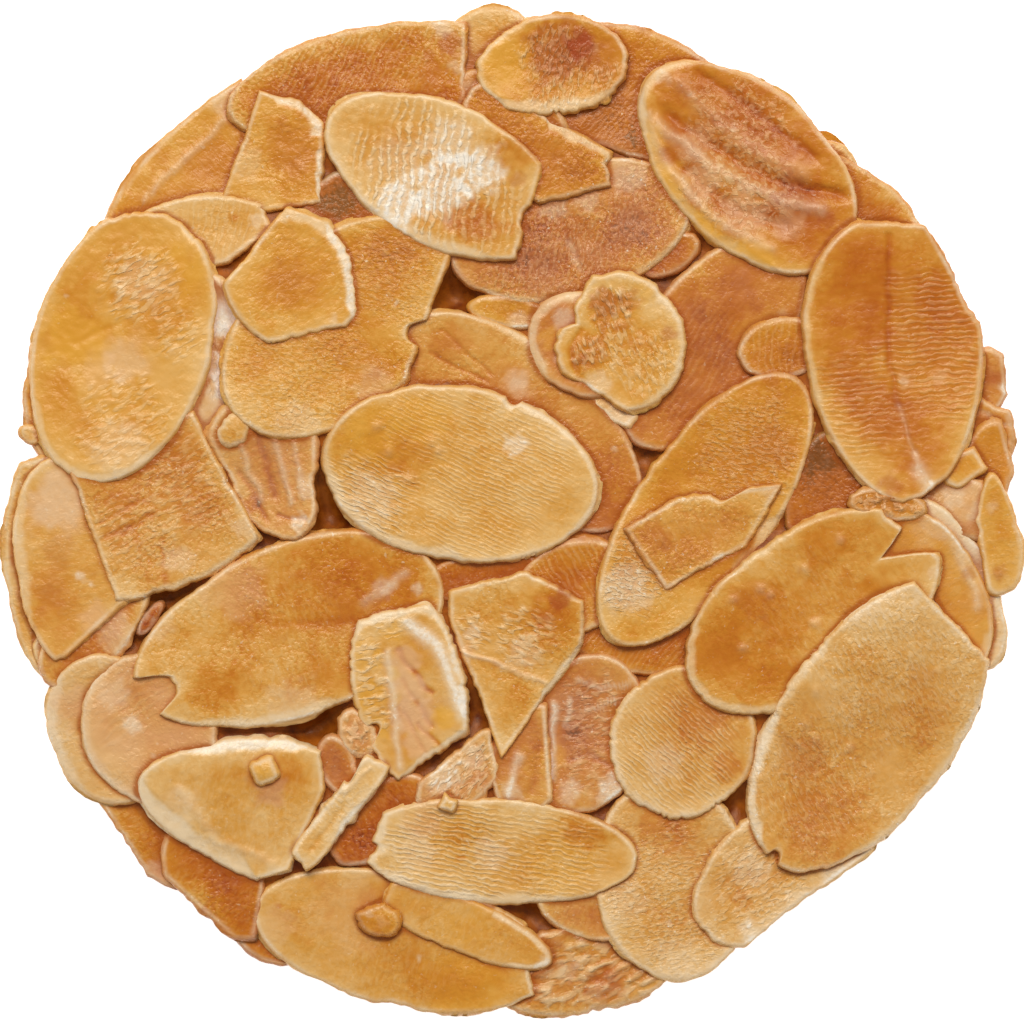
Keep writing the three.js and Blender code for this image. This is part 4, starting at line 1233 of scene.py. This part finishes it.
def mottle(row, points):
    """How the toast varies over a face: a slant of painted shade and toast, glazed patches and lumps."""
    x = points[..., 0]
    y = points[..., 1]
    seed = row["seed"]
    bearing, slant = row["shade"] or (DEFAULT_TURN * seed, DEFAULT_SLANT)
    across = points @ toward(bearing) / (0.5 * row["long"])
    glaze = field(x, y, GLAZE_LUMPS, seed + 15) + GLAZE_FRAY * field(x, y, GLAZE_FRAY_LUMPS, seed + 16)
    # The slant darkens the face towards the shade bearing: painted shade together with a change in toast.
    varied = slant * across + GLAZE * (smooth(-0.2, 0.2, glaze) - 0.5)
    varied = varied + BROAD_MOTTLE * field(x, y, BROAD_MOTTLE_LUMPS, seed + 13)
    return varied + FINE_MOTTLE * field(x, y, FINE_MOTTLE_LUMPS, seed + 14)


def varying(x, y, measure, seed):
    """A share that varies over a face, from its average, how much it varies and its lump size."""
    average, change, lumps = measure
    return average + change * field(x, y, lumps, seed)


def face_colours(row, points, edge, broken, crests, ridges):
    """The measures that colour the face, apart from pooled caramel."""
    x = points[..., 0]
    y = points[..., 1]
    seed = row["seed"]
    nearest = np.minimum(edge, broken)
    border = sum(amount * (1 - smooth(full, end, nearest)) for full, end, amount in PALE_BORDERS)
    toast = row["toast"] + mottle(row, points) - CREST_PALER * crests - row["paling"] * border + TOAST_SHIFT
    toast = toast + spot_amount(row, "toast", x, y)
    patchy = smooth(-0.5, 0.5, field(x, y, PALE_EDGE_LUMPS, seed + 16))
    pale = row["paling"] * (PALE_EDGE_LEAST + PALE_EDGE_PATCHY * patchy) * (1 - smooth(*PALE_EDGE, nearest))
    for rim in row["rims"]:
        share = smooth(*BEVEL_FADE, rim_share(row, points, nearest, rim))
        pale = np.maximum(pale, BEVEL_PALE * rim[4] * share)
        toast = toast - (BEVEL_TOAST + BEVEL_DROP_TOAST * rim[3]) * share
    burn = spot_amount(row, "burn", x, y)
    # Darker creases add painted shade in their folds and paler ones a painted highlight on their ridges, as
    # well as their own tone.
    shade_and_tone, light = crease_marks(row, x, y, CREASE_SHADE_AND_TONE)
    pale = pale + light + spot_amount(row, "pale", x, y) * (PALE_SPOT_LEAST + PALE_SPOT_CREST * crests)
    pale = pale + CREST_PALE * crests * (1 - np.minimum(BURN_COVER * burn, 1))
    blush = row["blush"] * varying(x, y, BLUSH_VARIES, seed + 17) + spot_amount(row, "blush", x, y)
    gold = row["gold"] + spot_amount(row, "gold", x, y)
    grain = row["grain"] * varying(x, y, GRAIN_VARIES, seed + 3)
    brink = 1 - smooth(*BRINK, nearest)
    return dict(
        toast=toast + shade_and_tone + BRINK_DARK * brink, pale=pale * (1 - BRINK_COVER * brink), blush=blush,
        burn=burn, gold=gold + BRINK_DARK * brink, grain=grain, ridge=ridges,
    )


def border_order(columns, rows):
    """Indices of a grid's border, once round."""
    grid = np.arange(columns * rows).reshape(rows, columns)
    return np.concatenate([grid[0, :-1], grid[:-1, -1], grid[-1, :0:-1], grid[:0:-1, 0]])


def grid_faces(columns, rows):
    """Faces between the points of a grid."""
    grid = np.arange(columns * rows).reshape(rows, columns)
    return np.stack([grid[:-1, :-1], grid[:-1, 1:], grid[1:, 1:], grid[1:, :-1]], -1).reshape(-1, 4)


def ring_faces(upper, lower):
    """Faces between two rings of points."""
    return np.stack([upper, lower, np.roll(lower, -1), np.roll(upper, -1)], 1)


def fan_faces(ring, middle):
    """Faces from a ring to one point in its middle."""
    return np.stack([np.roll(ring, -1), ring, np.full_like(ring, middle)], 1)


def side_rings(row, border, foot):
    """Rings of points down a slice's side."""
    rings = []
    for level in SIDE_LEVELS:
        ring = border.copy()
        ring[:, 2] = foot + (border[:, 2] - foot) * level
        out = SIDE_ROUGH * field(border[:, 0] + 3 * level, border[:, 1], SIDE_LUMPS, row["seed"] + 17)
        ring[:, :2] *= (1 + out / np.linalg.norm(border[:, :2], axis=1))[:, None]
        rings.append(ring)
    return rings


def slice_mesh(row, cell, ground):
    """Places, faces and colour measures of one slice."""
    a, b = np.meshgrid(grid_lines(row["long"] / 2, cell), grid_lines(row["wide"] / 2, cell))
    radius, t = disc(a, b)
    around = oval(row, t)
    scale = outline_scale(row, around)
    radius = pressed(radius, scale)
    points = around * radius[..., None]
    edge, broken = edge_distance(row, points, radius, scale, t)
    height, crests, ridges = upper_face(row, points, radius, edge, broken)
    measures = face_colours(row, points, edge, broken, crests, ridges)
    lean = lower_face(row, points)
    face = np.dstack([points, height + lean]).reshape(-1, 3)
    order = border_order(a.shape[1], a.shape[0])
    rings = side_rings(row, face[order], lean.ravel()[order])
    middle = np.array([[0, 0, lean.ravel()[order].mean()]])
    places = np.concatenate([face, *rings, middle]) + np.array([row["x"], row["y"], 0])
    faces = [grid_faces(a.shape[1], a.shape[0])]
    upper = order
    for i in range(len(rings)):
        lower = np.arange(len(order)) + len(face) + i * len(order)
        faces.append(ring_faces(upper, lower))
        upper = lower
    faces.append(fan_faces(upper, len(places) - 1))
    base = np.concatenate([(lean + row["thick"]).ravel(), places[len(face):, 2]])
    return places, faces, with_sides(row, measures, places, base, ground)


def with_sides(row, measures, places, base, ground):
    """The measures of the face, then of the sides and the lower face, and the caramel pooled on them with
    its painted contact shade.
    """
    sides = dict(toast=row["toast"] + SIDE_DARK, gold=SIDE_GOLD, grain=SIDE_GRAIN)
    values = {}
    for key, value in measures.items():
        rest = np.full(len(places) - value.size, sides.get(key, 0.0))
        values[key] = np.clip(np.concatenate([value.ravel(), rest]), 0, 1)
    # Darker where a slice lies below the ones around it: pooled caramel and painted contact shade.
    pool_and_shade = np.zeros(len(places))
    for heights, (_, low, high, amount) in zip(ground, POOLS_AND_SHADE):
        deep = read_map(heights, places[:, 0], places[:, 1]) - base
        pool_and_shade = pool_and_shade + amount * smooth(low, high, deep)
    values["pool_and_shade"] = np.clip(pool_and_shade, 0, 1) * (1 - POOL_AND_SHADE_OFF_PALE * values["pale"])
    values.update(grain_measures(row, places[:, 0] - row["x"], places[:, 1] - row["y"]))
    return values


def grain_measures(row, x, y):
    """Places along and across the grain, in ridges, and how regular the ridges are."""
    kind, bearing, spacing = row["textures"][0][:3]
    along, across = along_across(x, y, bearing)
    regular = kind in ("lines", "beads")
    bend = line_bend(along, across, row["seed"]) if regular else 0.0
    return dict(
        along=along / (spacing * STRETCH[kind]) + row["seed"],
        across=across / spacing + bend,
        regular=np.full(len(x), float(regular)),
    )


def lower_face(row, points):
    """Height of the lower face: the sheet it was laid as, or a flat plane."""
    if "sheet" not in row:
        return points @ row["slope"] + row["level"]
    top = read_map(row["sheet"], points[..., 0] + row["x"], points[..., 1] + row["y"], DRAPE_STEP)
    return top - row["thick"]


def solid_tops(rows, x, y):
    """Heights of the slices as flat plates, laid by the solid part's rule."""
    heights = np.where(np.hypot(x, y) < SHEET_RADIUS, BED_LEVEL, 0.0)
    for row in rows:
        dx = x - row["x"]
        dy = y - row["y"]
        under = inside(solid_outline(row), dx, dy)
        top = dx * row["slope"][0] + dy * row["slope"][1] + row["level"] + row["thick"]
        heights = np.where(under, np.maximum(heights, top), heights)
    return heights


def lay_sheets(rows):
    """Lays each slice as a stiff sheet on those before it, from the broad height of the flat plates."""
    x, y = square_places(DRAPE_STEP)
    broad = blurred(solid_tops(rows, x, y), BED_BLUR, DRAPE_STEP)
    heights = np.maximum(broad + BED_RISE, BED_LEVEL)
    for row in rows:
        under = inside(solid_outline(row), x - row["x"], y - row["y"])
        weight = np.maximum(blurred(under.astype(float), SHEET_BLUR, DRAPE_STEP), LEAST_WEIGHT)
        least = heights + STEP_SHARE * row["thick"]
        sheet = least
        for _ in range(SHEET_PASSES):
            sheet = blurred(np.where(under, np.maximum(sheet, least), 0), SHEET_BLUR, DRAPE_STEP) / weight
        sheet = sheet + max((heights + CLEARANCE - sheet)[under].max(), 0)
        row["sheet"] = sheet
        heights = np.where(under, np.maximum(heights, sheet), heights)


def blurred(values, reach, step=FINE_STEP):
    """A map smoothed over that many millimetres."""
    span = math.ceil(2.5 * reach / step)
    steps = np.arange(-span, span + 1)
    weights = np.exp(-0.5 * (steps * step / reach) ** 2)
    weights = weights / weights.sum()
    for axis in (0, 1):
        values = sum(weight * np.roll(values, shift, axis) for shift, weight in zip(steps, weights))
    return values


def read_map(values, x, y, step=FINE_STEP):
    """Map heights between the squares' middles."""
    px = np.clip((x + MAP_REACH) / step - 0.5, 0, values.shape[1] - 1.001)
    py = np.clip((y + MAP_REACH) / step - 0.5, 0, values.shape[0] - 1.001)
    column = px.astype(int)
    row = py.astype(int)
    fx = px - column
    fy = py - row
    low = values[row, column] * (1 - fx) + values[row, column + 1] * fx
    high = values[row + 1, column] * (1 - fx) + values[row + 1, column + 1] * fx
    return low * (1 - fy) + high * fy


def top_map(rows):
    """Heights of all the slices seen from above."""
    x, y = square_places(FINE_STEP)
    heights = np.where(np.hypot(x, y) < SHEET_RADIUS - CARAMEL_INSET, BED_LEVEL, 0.0)
    t = np.arange(FINE_POINTS) * 2 * math.pi / FINE_POINTS
    for row in rows:
        around = oval(row, t)
        points = around * outline_scale(row, around)[:, None]
        places = np.stack([x - row["x"], y - row["y"]], -1)
        under = inside(points, places[..., 0], places[..., 1])
        top = lower_face(row, places) + row["thick"]
        heights = np.where(under, np.maximum(heights, top), heights)
    return heights


def rim_radius(heights, angles):
    """How far out the biscuit reaches at each angle."""
    reach = np.arange(RIM_FROM, MAP_REACH, RIM_STEP)
    x = reach[None, :] * np.cos(angles)[:, None]
    y = reach[None, :] * np.sin(angles)[:, None]
    filled = read_map(heights, x, y) > RIM_LEVEL
    last = reach[filled.shape[1] - 1 - np.argmax(filled[:, ::-1], axis=1)]
    return np.minimum.reduce([np.roll(last, k) for k in (-2, -1, 0, 1, 2)]) - CARAMEL_INSET


def caramel_mesh(heights):
    """The caramel between and under the slices: low in the gaps, rising against the slices' sides."""
    line = np.linspace(-1, 1, CARAMEL_CELLS)
    a, b = np.meshgrid(line, line)
    radius, t = disc(a, b)
    angles = np.linspace(0, 2 * math.pi, RIM_POINTS, endpoint=False)
    rim = np.interp(t % (2 * math.pi), angles, rim_radius(heights, angles), period=2 * math.pi)
    x = radius * rim * np.cos(t)
    y = radius * rim * np.sin(t)
    level = np.maximum(blurred(heights, CARAMEL_BLUR) - CARAMEL_DROP, CARAMEL_LEAST)
    hidden = np.minimum(level, heights - CARAMEL_UNDER)
    z = read_map(np.where(heights > BED_LEVEL, hidden, level), x, y)
    for size, height, seed in CARAMEL_LUMPS:
        z = z + height * field(x, y, size, seed)
    z = z - rounded((1 - radius) * rim, CARAMEL_EDGE) * CARAMEL_SLUMP
    order = border_order(CARAMEL_CELLS, CARAMEL_CELLS)
    places = np.stack([x, y, np.maximum(z, CARAMEL_BASE + CARAMEL_THIN)], -1).reshape(-1, 3)
    lower = places[order].copy()
    lower[:, 2] = CARAMEL_BASE
    count = len(places)
    ring = np.arange(count, count + len(order))
    middle = np.array([[0, 0, CARAMEL_BASE]])
    upper = grid_faces(CARAMEL_CELLS, CARAMEL_CELLS)
    faces = [upper, ring_faces(order, ring), fan_faces(ring, count + len(order))]
    return np.concatenate([places, lower, middle]), faces


def under_rows():
    """Seeded slices on the underside, at slightly different levels a little proud of the caramel."""
    rng = np.random.default_rng(UNDER_SEED)
    rows = []
    for i in range(UNDER_SLICES):
        long = rng.uniform(*UNDER_LONG)
        radius = min(UNDER_REACH * math.sqrt((i + 0.5) / UNDER_SLICES), UNDER_RIM - long / 2 * UNDER_INSIDE)
        x = radius * math.cos(UNDER_TURN * i)
        y = radius * math.sin(UNDER_TURN * i)
        wide = long * rng.uniform(*UNDER_WIDE)
        row = almond("under", x, y, long, wide, rng.uniform(0, 360), rng.uniform(*UNDER_TOAST))
        row.update(thick=UNDER_THICK, cup=0.0, wave=0.0, grain=UNDER_GRAIN, slope=np.zeros(2))
        row["seed"] = UNDER_FIRST_FIELD + SEEDS_APART * i
        row["level"] = UNDER_LEVEL - UNDER_STEP * (i % UNDER_STEPS)
        rows.append(row)
    return rows


def build_piece(name, meshes, material):
    """One object from several meshes, each with places, faces and colour measures."""
    places = []
    faces = []
    measures = {}
    count = 0
    for part_places, part_faces, part_values in meshes:
        places.append(part_places)
        for group in part_faces:
            faces.extend((group + count).tolist())
        for key, value in part_values.items():
            measures.setdefault(key, []).append(value)
        count += len(part_places)
    mesh = bpy.data.meshes.new(name)
    mesh.from_pydata((np.concatenate(places) * MM).tolist(), [], faces)
    mesh.polygons.foreach_set("use_smooth", np.ones(len(mesh.polygons), bool))
    for key, value in measures.items():
        layer = mesh.attributes.new(key, "FLOAT", "POINT")
        layer.data.foreach_set("value", np.concatenate(value).astype(np.float32))
    mesh.materials.append(material)
    piece = bpy.data.objects.new(name, mesh)
    bpy.context.collection.objects.link(piece)
    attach(piece, "root")
    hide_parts("almond_tuile")


def upside_down(mesh):
    """The same mesh turned over, so that its upper face looks down from Z = 0."""
    places, faces, values = mesh
    turned = places * np.array([1, 1, -1])
    return turned, [group[:, ::-1] for group in faces], values


def linear(tone):
    """A display colour as light."""
    part = np.array(tone) / 255
    light = np.where(part <= 0.04045, part / 12.92, ((part + 0.055) / 1.055) ** 2.4)
    return (*light.tolist(), 1.0)


class Nodes:
    """Short calls for a material's nodes."""

    def __init__(self, name):
        self.material = bpy.data.materials.new(name)
        self.material.use_nodes = True
        self.tree = self.material.node_tree
        self.shader = self.tree.nodes["Principled BSDF"]

    def add(self, kind, **settings):
        """A new node with those settings."""
        node = self.tree.nodes.new(kind)
        for key, value in settings.items():
            setattr(node, key, value)
        return node

    def link(self, output, target):
        """Joins an output to an input."""
        self.tree.links.new(output, target)

    def measure(self, name):
        """One of the measures that the mesh carries."""
        return self.add("ShaderNodeAttribute", attribute_name=name).outputs["Fac"]

    def noise(self, size, detail=3.0):
        """Noise with lumps of that many millimetres."""
        return self.noise_at(self.coordinates(), size * MM, detail)

    def fibres(self, size, stretch, detail):
        """Noise that is drawn out along the grain of each slice."""
        place = self.add("ShaderNodeCombineXYZ")
        self.link(self.math("DIVIDE", self.measure("along"), stretch), place.inputs["X"])
        self.link(self.measure("across"), place.inputs["Y"])
        return self.noise_at(place.outputs["Vector"], size, detail)

    def broken_lines(self):
        """Crests from 0 to 1 of lines along the grain, broken here and there."""
        wander = self.spread(self.noise(0.7, detail=1.0), low=-0.4, high=0.4)
        place = self.math("ADD", self.measure("across"), wander)
        turn = self.math("MULTIPLY", place, 2 * math.pi)
        breaks = self.spread(self.fibres(size=0.8, stretch=0.7, detail=1.5), low=-2.4, high=2.4)
        wave = self.math("ADD", self.math("SINE", turn, 0.0), breaks)
        return self.over(wave, low=-0.2, high=1.1, amount=1.0)

    def blend(self, share, first, second):
        """Two values mixed by a share."""
        node = self.add("ShaderNodeMix", data_type="FLOAT")
        for socket, value in zip((0, 2, 3), (share, first, second)):
            self.link(value, node.inputs[socket])
        return node.outputs[0]

    def noise_at(self, place, size, detail):
        """Noise from 0 to 1 at a place."""
        node = self.add("ShaderNodeTexNoise")
        node.inputs["Scale"].default_value = 1 / size
        node.inputs["Detail"].default_value = detail
        node.inputs["Distortion"].default_value = NOISE_TWIST
        self.link(place, node.inputs["Vector"])
        return node.outputs["Fac"]

    def over(self, value, low, high, amount):
        """0 where the value is under low, and the amount where it is over high."""
        node = self.add("ShaderNodeMapRange")
        node.inputs["From Min"].default_value = low
        node.inputs["From Max"].default_value = high
        node.inputs["To Max"].default_value = amount
        self.link(value, node.inputs["Value"])
        return node.outputs["Result"]

    def coordinates(self):
        """Places in the object's own frame."""
        return self.add("ShaderNodeTexCoord").outputs["Object"]

    def math(self, operation, first, second):
        """A sum, product or the like of values and plain numbers."""
        node = self.add("ShaderNodeMath", operation=operation)
        for socket, value in zip(node.inputs, (first, second)):
            if isinstance(value, float):
                socket.default_value = value
            else:
                self.link(value, socket)
        return node.outputs[0]

    def spread(self, value, low, high):
        """A value from 0 to 1 moved to the range low to high."""
        node = self.add("ShaderNodeMapRange")
        node.inputs["To Min"].default_value = low
        node.inputs["To Max"].default_value = high
        self.link(value, node.inputs["Value"])
        return node.outputs["Result"]

    def mix(self, share, first, tone):
        """A colour mixed with a tone by a share."""
        node = self.add("ShaderNodeMix", data_type="RGBA")
        self.link(share, node.inputs[0])
        self.link(first, node.inputs[6])
        node.inputs[7].default_value = linear(tone)
        return node.outputs[2]

    def ramp(self, value, tones):
        """The colour at a value between tones."""
        node = self.add("ShaderNodeValToRGB")
        elements = node.color_ramp.elements
        while len(elements) < len(tones):
            elements.new(0.5)
        for element, (place, tone) in zip(elements, tones):
            element.position = place
            element.color = linear(tone)
        self.link(value, node.inputs["Fac"])
        return node.outputs["Color"]

    def bump(self, height, strength, distance, before=None):
        """Relief of that many millimetres over another."""
        node = self.add("ShaderNodeBump")
        node.inputs["Strength"].default_value = strength
        node.inputs["Distance"].default_value = distance * MM
        self.link(height, node.inputs["Height"])
        if before:
            self.link(before, node.inputs["Normal"])
        return node.outputs["Normal"]


def almond_material():
    """Almond coloured by the measures of its mesh, with ridges and pebbles as fine relief."""
    nodes = Nodes("toasted_almond")
    grain = nodes.measure("grain")
    ridge = nodes.measure("ridge")
    worm = nodes.over(nodes.fibres(size=0.5, stretch=1.0, detail=1.5), low=0.47, high=0.6, amount=1.0)
    crest = nodes.blend(nodes.measure("regular"), worm, nodes.broken_lines())
    ridges = nodes.math("MULTIPLY", crest, ridge)
    pebble = nodes.over(nodes.noise(0.32, detail=1.5), low=0.36, high=0.64, amount=1.0)
    pebbles = nodes.math("MULTIPLY", pebble, grain)
    colour = toasted_colour(nodes, crest, ridge, pebble, grain)
    # Painted glints: sparse pale specks that stand in for small highlights.
    painted_glint = nodes.over(nodes.noise(0.3, detail=1.0), low=0.7, high=0.76, amount=0.6)
    speckle = nodes.spread(nodes.noise(0.3, detail=2.0), low=0.5, high=1.4)
    pale = nodes.math("MULTIPLY", nodes.measure("pale"), speckle)
    pale = nodes.math("ADD", pale, nodes.math("MULTIPLY", painted_glint, grain))
    pale = nodes.math("ADD", pale, nodes.math("MULTIPLY", ridges, 0.2))
    # The pale and white tones carry the pale flesh and, from the glints and a few spots, painted
    # highlights.
    colour = nodes.mix(pale, colour, PALE_TONE)
    colour = nodes.mix(nodes.over(pale, low=0.5, high=1.1, amount=0.9), colour, WHITE_TONE)
    colour = nodes.mix(nodes.measure("burn"), colour, BURNT_TONE)
    # Pooled caramel and painted contact shade, darker where a slice lies under others.
    colour = nodes.mix(nodes.math("MULTIPLY", nodes.measure("pool_and_shade"), 0.85), colour, POOL_AND_SHADE_TONE)
    nodes.link(colour, nodes.shader.inputs["Base Color"])
    rough = nodes.spread(nodes.noise(0.9, detail=3.0), low=0.2, high=0.48)
    nodes.link(rough, nodes.shader.inputs["Roughness"])
    nodes.shader.inputs["Specular IOR Level"].default_value = ALMOND_GLOSS
    nodes.shader.inputs["Specular Tint"].default_value = GLOSS_TINT
    coarse = nodes.bump(ridges, strength=1.0, distance=0.06)
    fine = nodes.bump(pebbles, strength=1.0, distance=0.05, before=coarse)
    nodes.link(fine, nodes.shader.inputs["Normal"])
    return nodes.material


def toasted_colour(nodes, crest, ridge, pebble, grain):
    """The colour that toasting gives, streaked along the grain and paler on ridges and pebbles."""
    streak = nodes.spread(nodes.fibres(size=0.9, stretch=1.6, detail=3.0), low=-0.06, high=0.06)
    toast = nodes.math("ADD", nodes.measure("toast"), streak)
    ridged = nodes.math("MULTIPLY", nodes.spread(crest, low=0.08, high=-0.08), ridge)
    toast = nodes.math("ADD", toast, ridged)
    pebbled = nodes.math("MULTIPLY", nodes.spread(pebble, low=0.1, high=-0.1), grain)
    toast = nodes.math("ADD", toast, pebbled)
    colour = nodes.ramp(toast, TOAST_TONES)
    colour = nodes.mix(nodes.math("MULTIPLY", nodes.measure("blush"), 0.7), colour, BLUSH_TONE)
    return nodes.mix(nodes.math("MULTIPLY", nodes.measure("gold"), 0.8), colour, GOLD_TONE)


def caramel_material():
    """Dark, slightly glossy caramel."""
    nodes = Nodes("caramel")
    tones = ((0.3, CARAMEL_DARK), (0.75, CARAMEL_LIGHT))
    nodes.link(nodes.ramp(nodes.noise(1.6, detail=4.0), tones), nodes.shader.inputs["Base Color"])
    rough = nodes.spread(nodes.noise(0.8, detail=2.0), low=0.3, high=0.5)
    nodes.link(rough, nodes.shader.inputs["Roughness"])
    nodes.shader.inputs["Specular IOR Level"].default_value = CARAMEL_GLOSS
    nodes.shader.inputs["Specular Tint"].default_value = GLOSS_TINT
    relief = nodes.bump(nodes.noise(0.6, detail=3.0), strength=0.5, distance=0.12)
    nodes.link(relief, nodes.shader.inputs["Normal"])
    return nodes.material


def build_tuile():
    """The slices layer by layer, the crumbs, the caramel and the underside."""
    layers = [RIM_AND_FLOOR, SECOND_LAYER, THIRD_LAYER, FOURTH_LAYER, FIFTH_LAYER, TOP_LAYER, CRUMBS]
    rows = [row for layer in layers for row in layer]
    for i, row in enumerate(rows):
        row["seed"] = SEEDS_APART * i + 1
    settle(rows)
    lay_sheets(rows)
    heights = top_map(rows)
    ground = [blurred(heights, pool_and_shade[0]) for pool_and_shade in POOLS_AND_SHADE]
    skin = almond_material()
    names = [f"almond_slices_{i + 1}" for i in range(len(layers) - 1)] + ["almond_crumbs"]
    for name, layer, cell in zip(names, layers, CELLS):
        build_piece(name, [slice_mesh(row, cell, ground) for row in layer], skin)
    caramel = caramel_mesh(heights)
    build_piece("caramel", [(*caramel, {})], caramel_material())
    under = [upside_down(slice_mesh(row, UNDER_CELL, ())) for row in under_rows()]
    build_piece("almond_slices_under", under, skin)


def build_floor():
    """A white floor that glows a little, so that it stays white under the picture."""
    bpy.ops.mesh.primitive_plane_add(size=FLOOR_SIZE)
    floor = bpy.context.object
    floor.name = "floor"
    nodes = Nodes("white_floor")
    nodes.shader.inputs["Base Color"].default_value = FLOOR_TONE
    nodes.shader.inputs["Roughness"].default_value = FLOOR_ROUGH
    nodes.shader.inputs["Specular IOR Level"].default_value = FLOOR_GLOSS
    nodes.shader.inputs["Emission Color"].default_value = WHITE
    nodes.shader.inputs["Emission Strength"].default_value = FLOOR_GLOW
    floor.data.materials.append(nodes.material)


def add_lamp(name, place, size, power):
    """A square lamp that looks at the middle of the frame."""
    lamp = bpy.data.lights.new(name, "AREA")
    lamp.size = size
    lamp.energy = power
    holder = bpy.data.objects.new(name, lamp)
    holder.location = place
    holder.rotation_euler = (-Vector(place)).to_track_quat("-Z", "Y").to_euler()
    bpy.context.collection.objects.link(holder)


def add_camera():
    """A camera straight above, at the distance where the picture's width fits."""
    camera = bpy.data.cameras.new("camera")
    camera.lens = LENS
    camera.sensor_width = SENSOR
    camera.clip_start = CLIP_START
    holder = bpy.data.objects.new("camera", camera)
    holder.location = (0, 0, (PICTURE_WIDTH / SENSOR * LENS + FOCUS_HEIGHT) * MM)
    bpy.context.collection.objects.link(holder)
    bpy.context.scene.camera = holder


def build_stage():
    """Floor, sky, lamps and camera."""
    build_floor()
    world = bpy.data.worlds.new("studio")
    world.use_nodes = True
    sky = world.node_tree.nodes["Background"]
    sky.inputs["Color"].default_value = WHITE
    sky.inputs["Strength"].default_value = SKY_STRENGTH
    bpy.context.scene.world = world
    add_lamp("key", **KEY_LAMP)
    add_lamp("sparkle", **SPARKLE_LAMP)
    add_camera()
    bpy.context.scene.view_settings.view_transform = "Standard"


build_tuile()
build_stage()
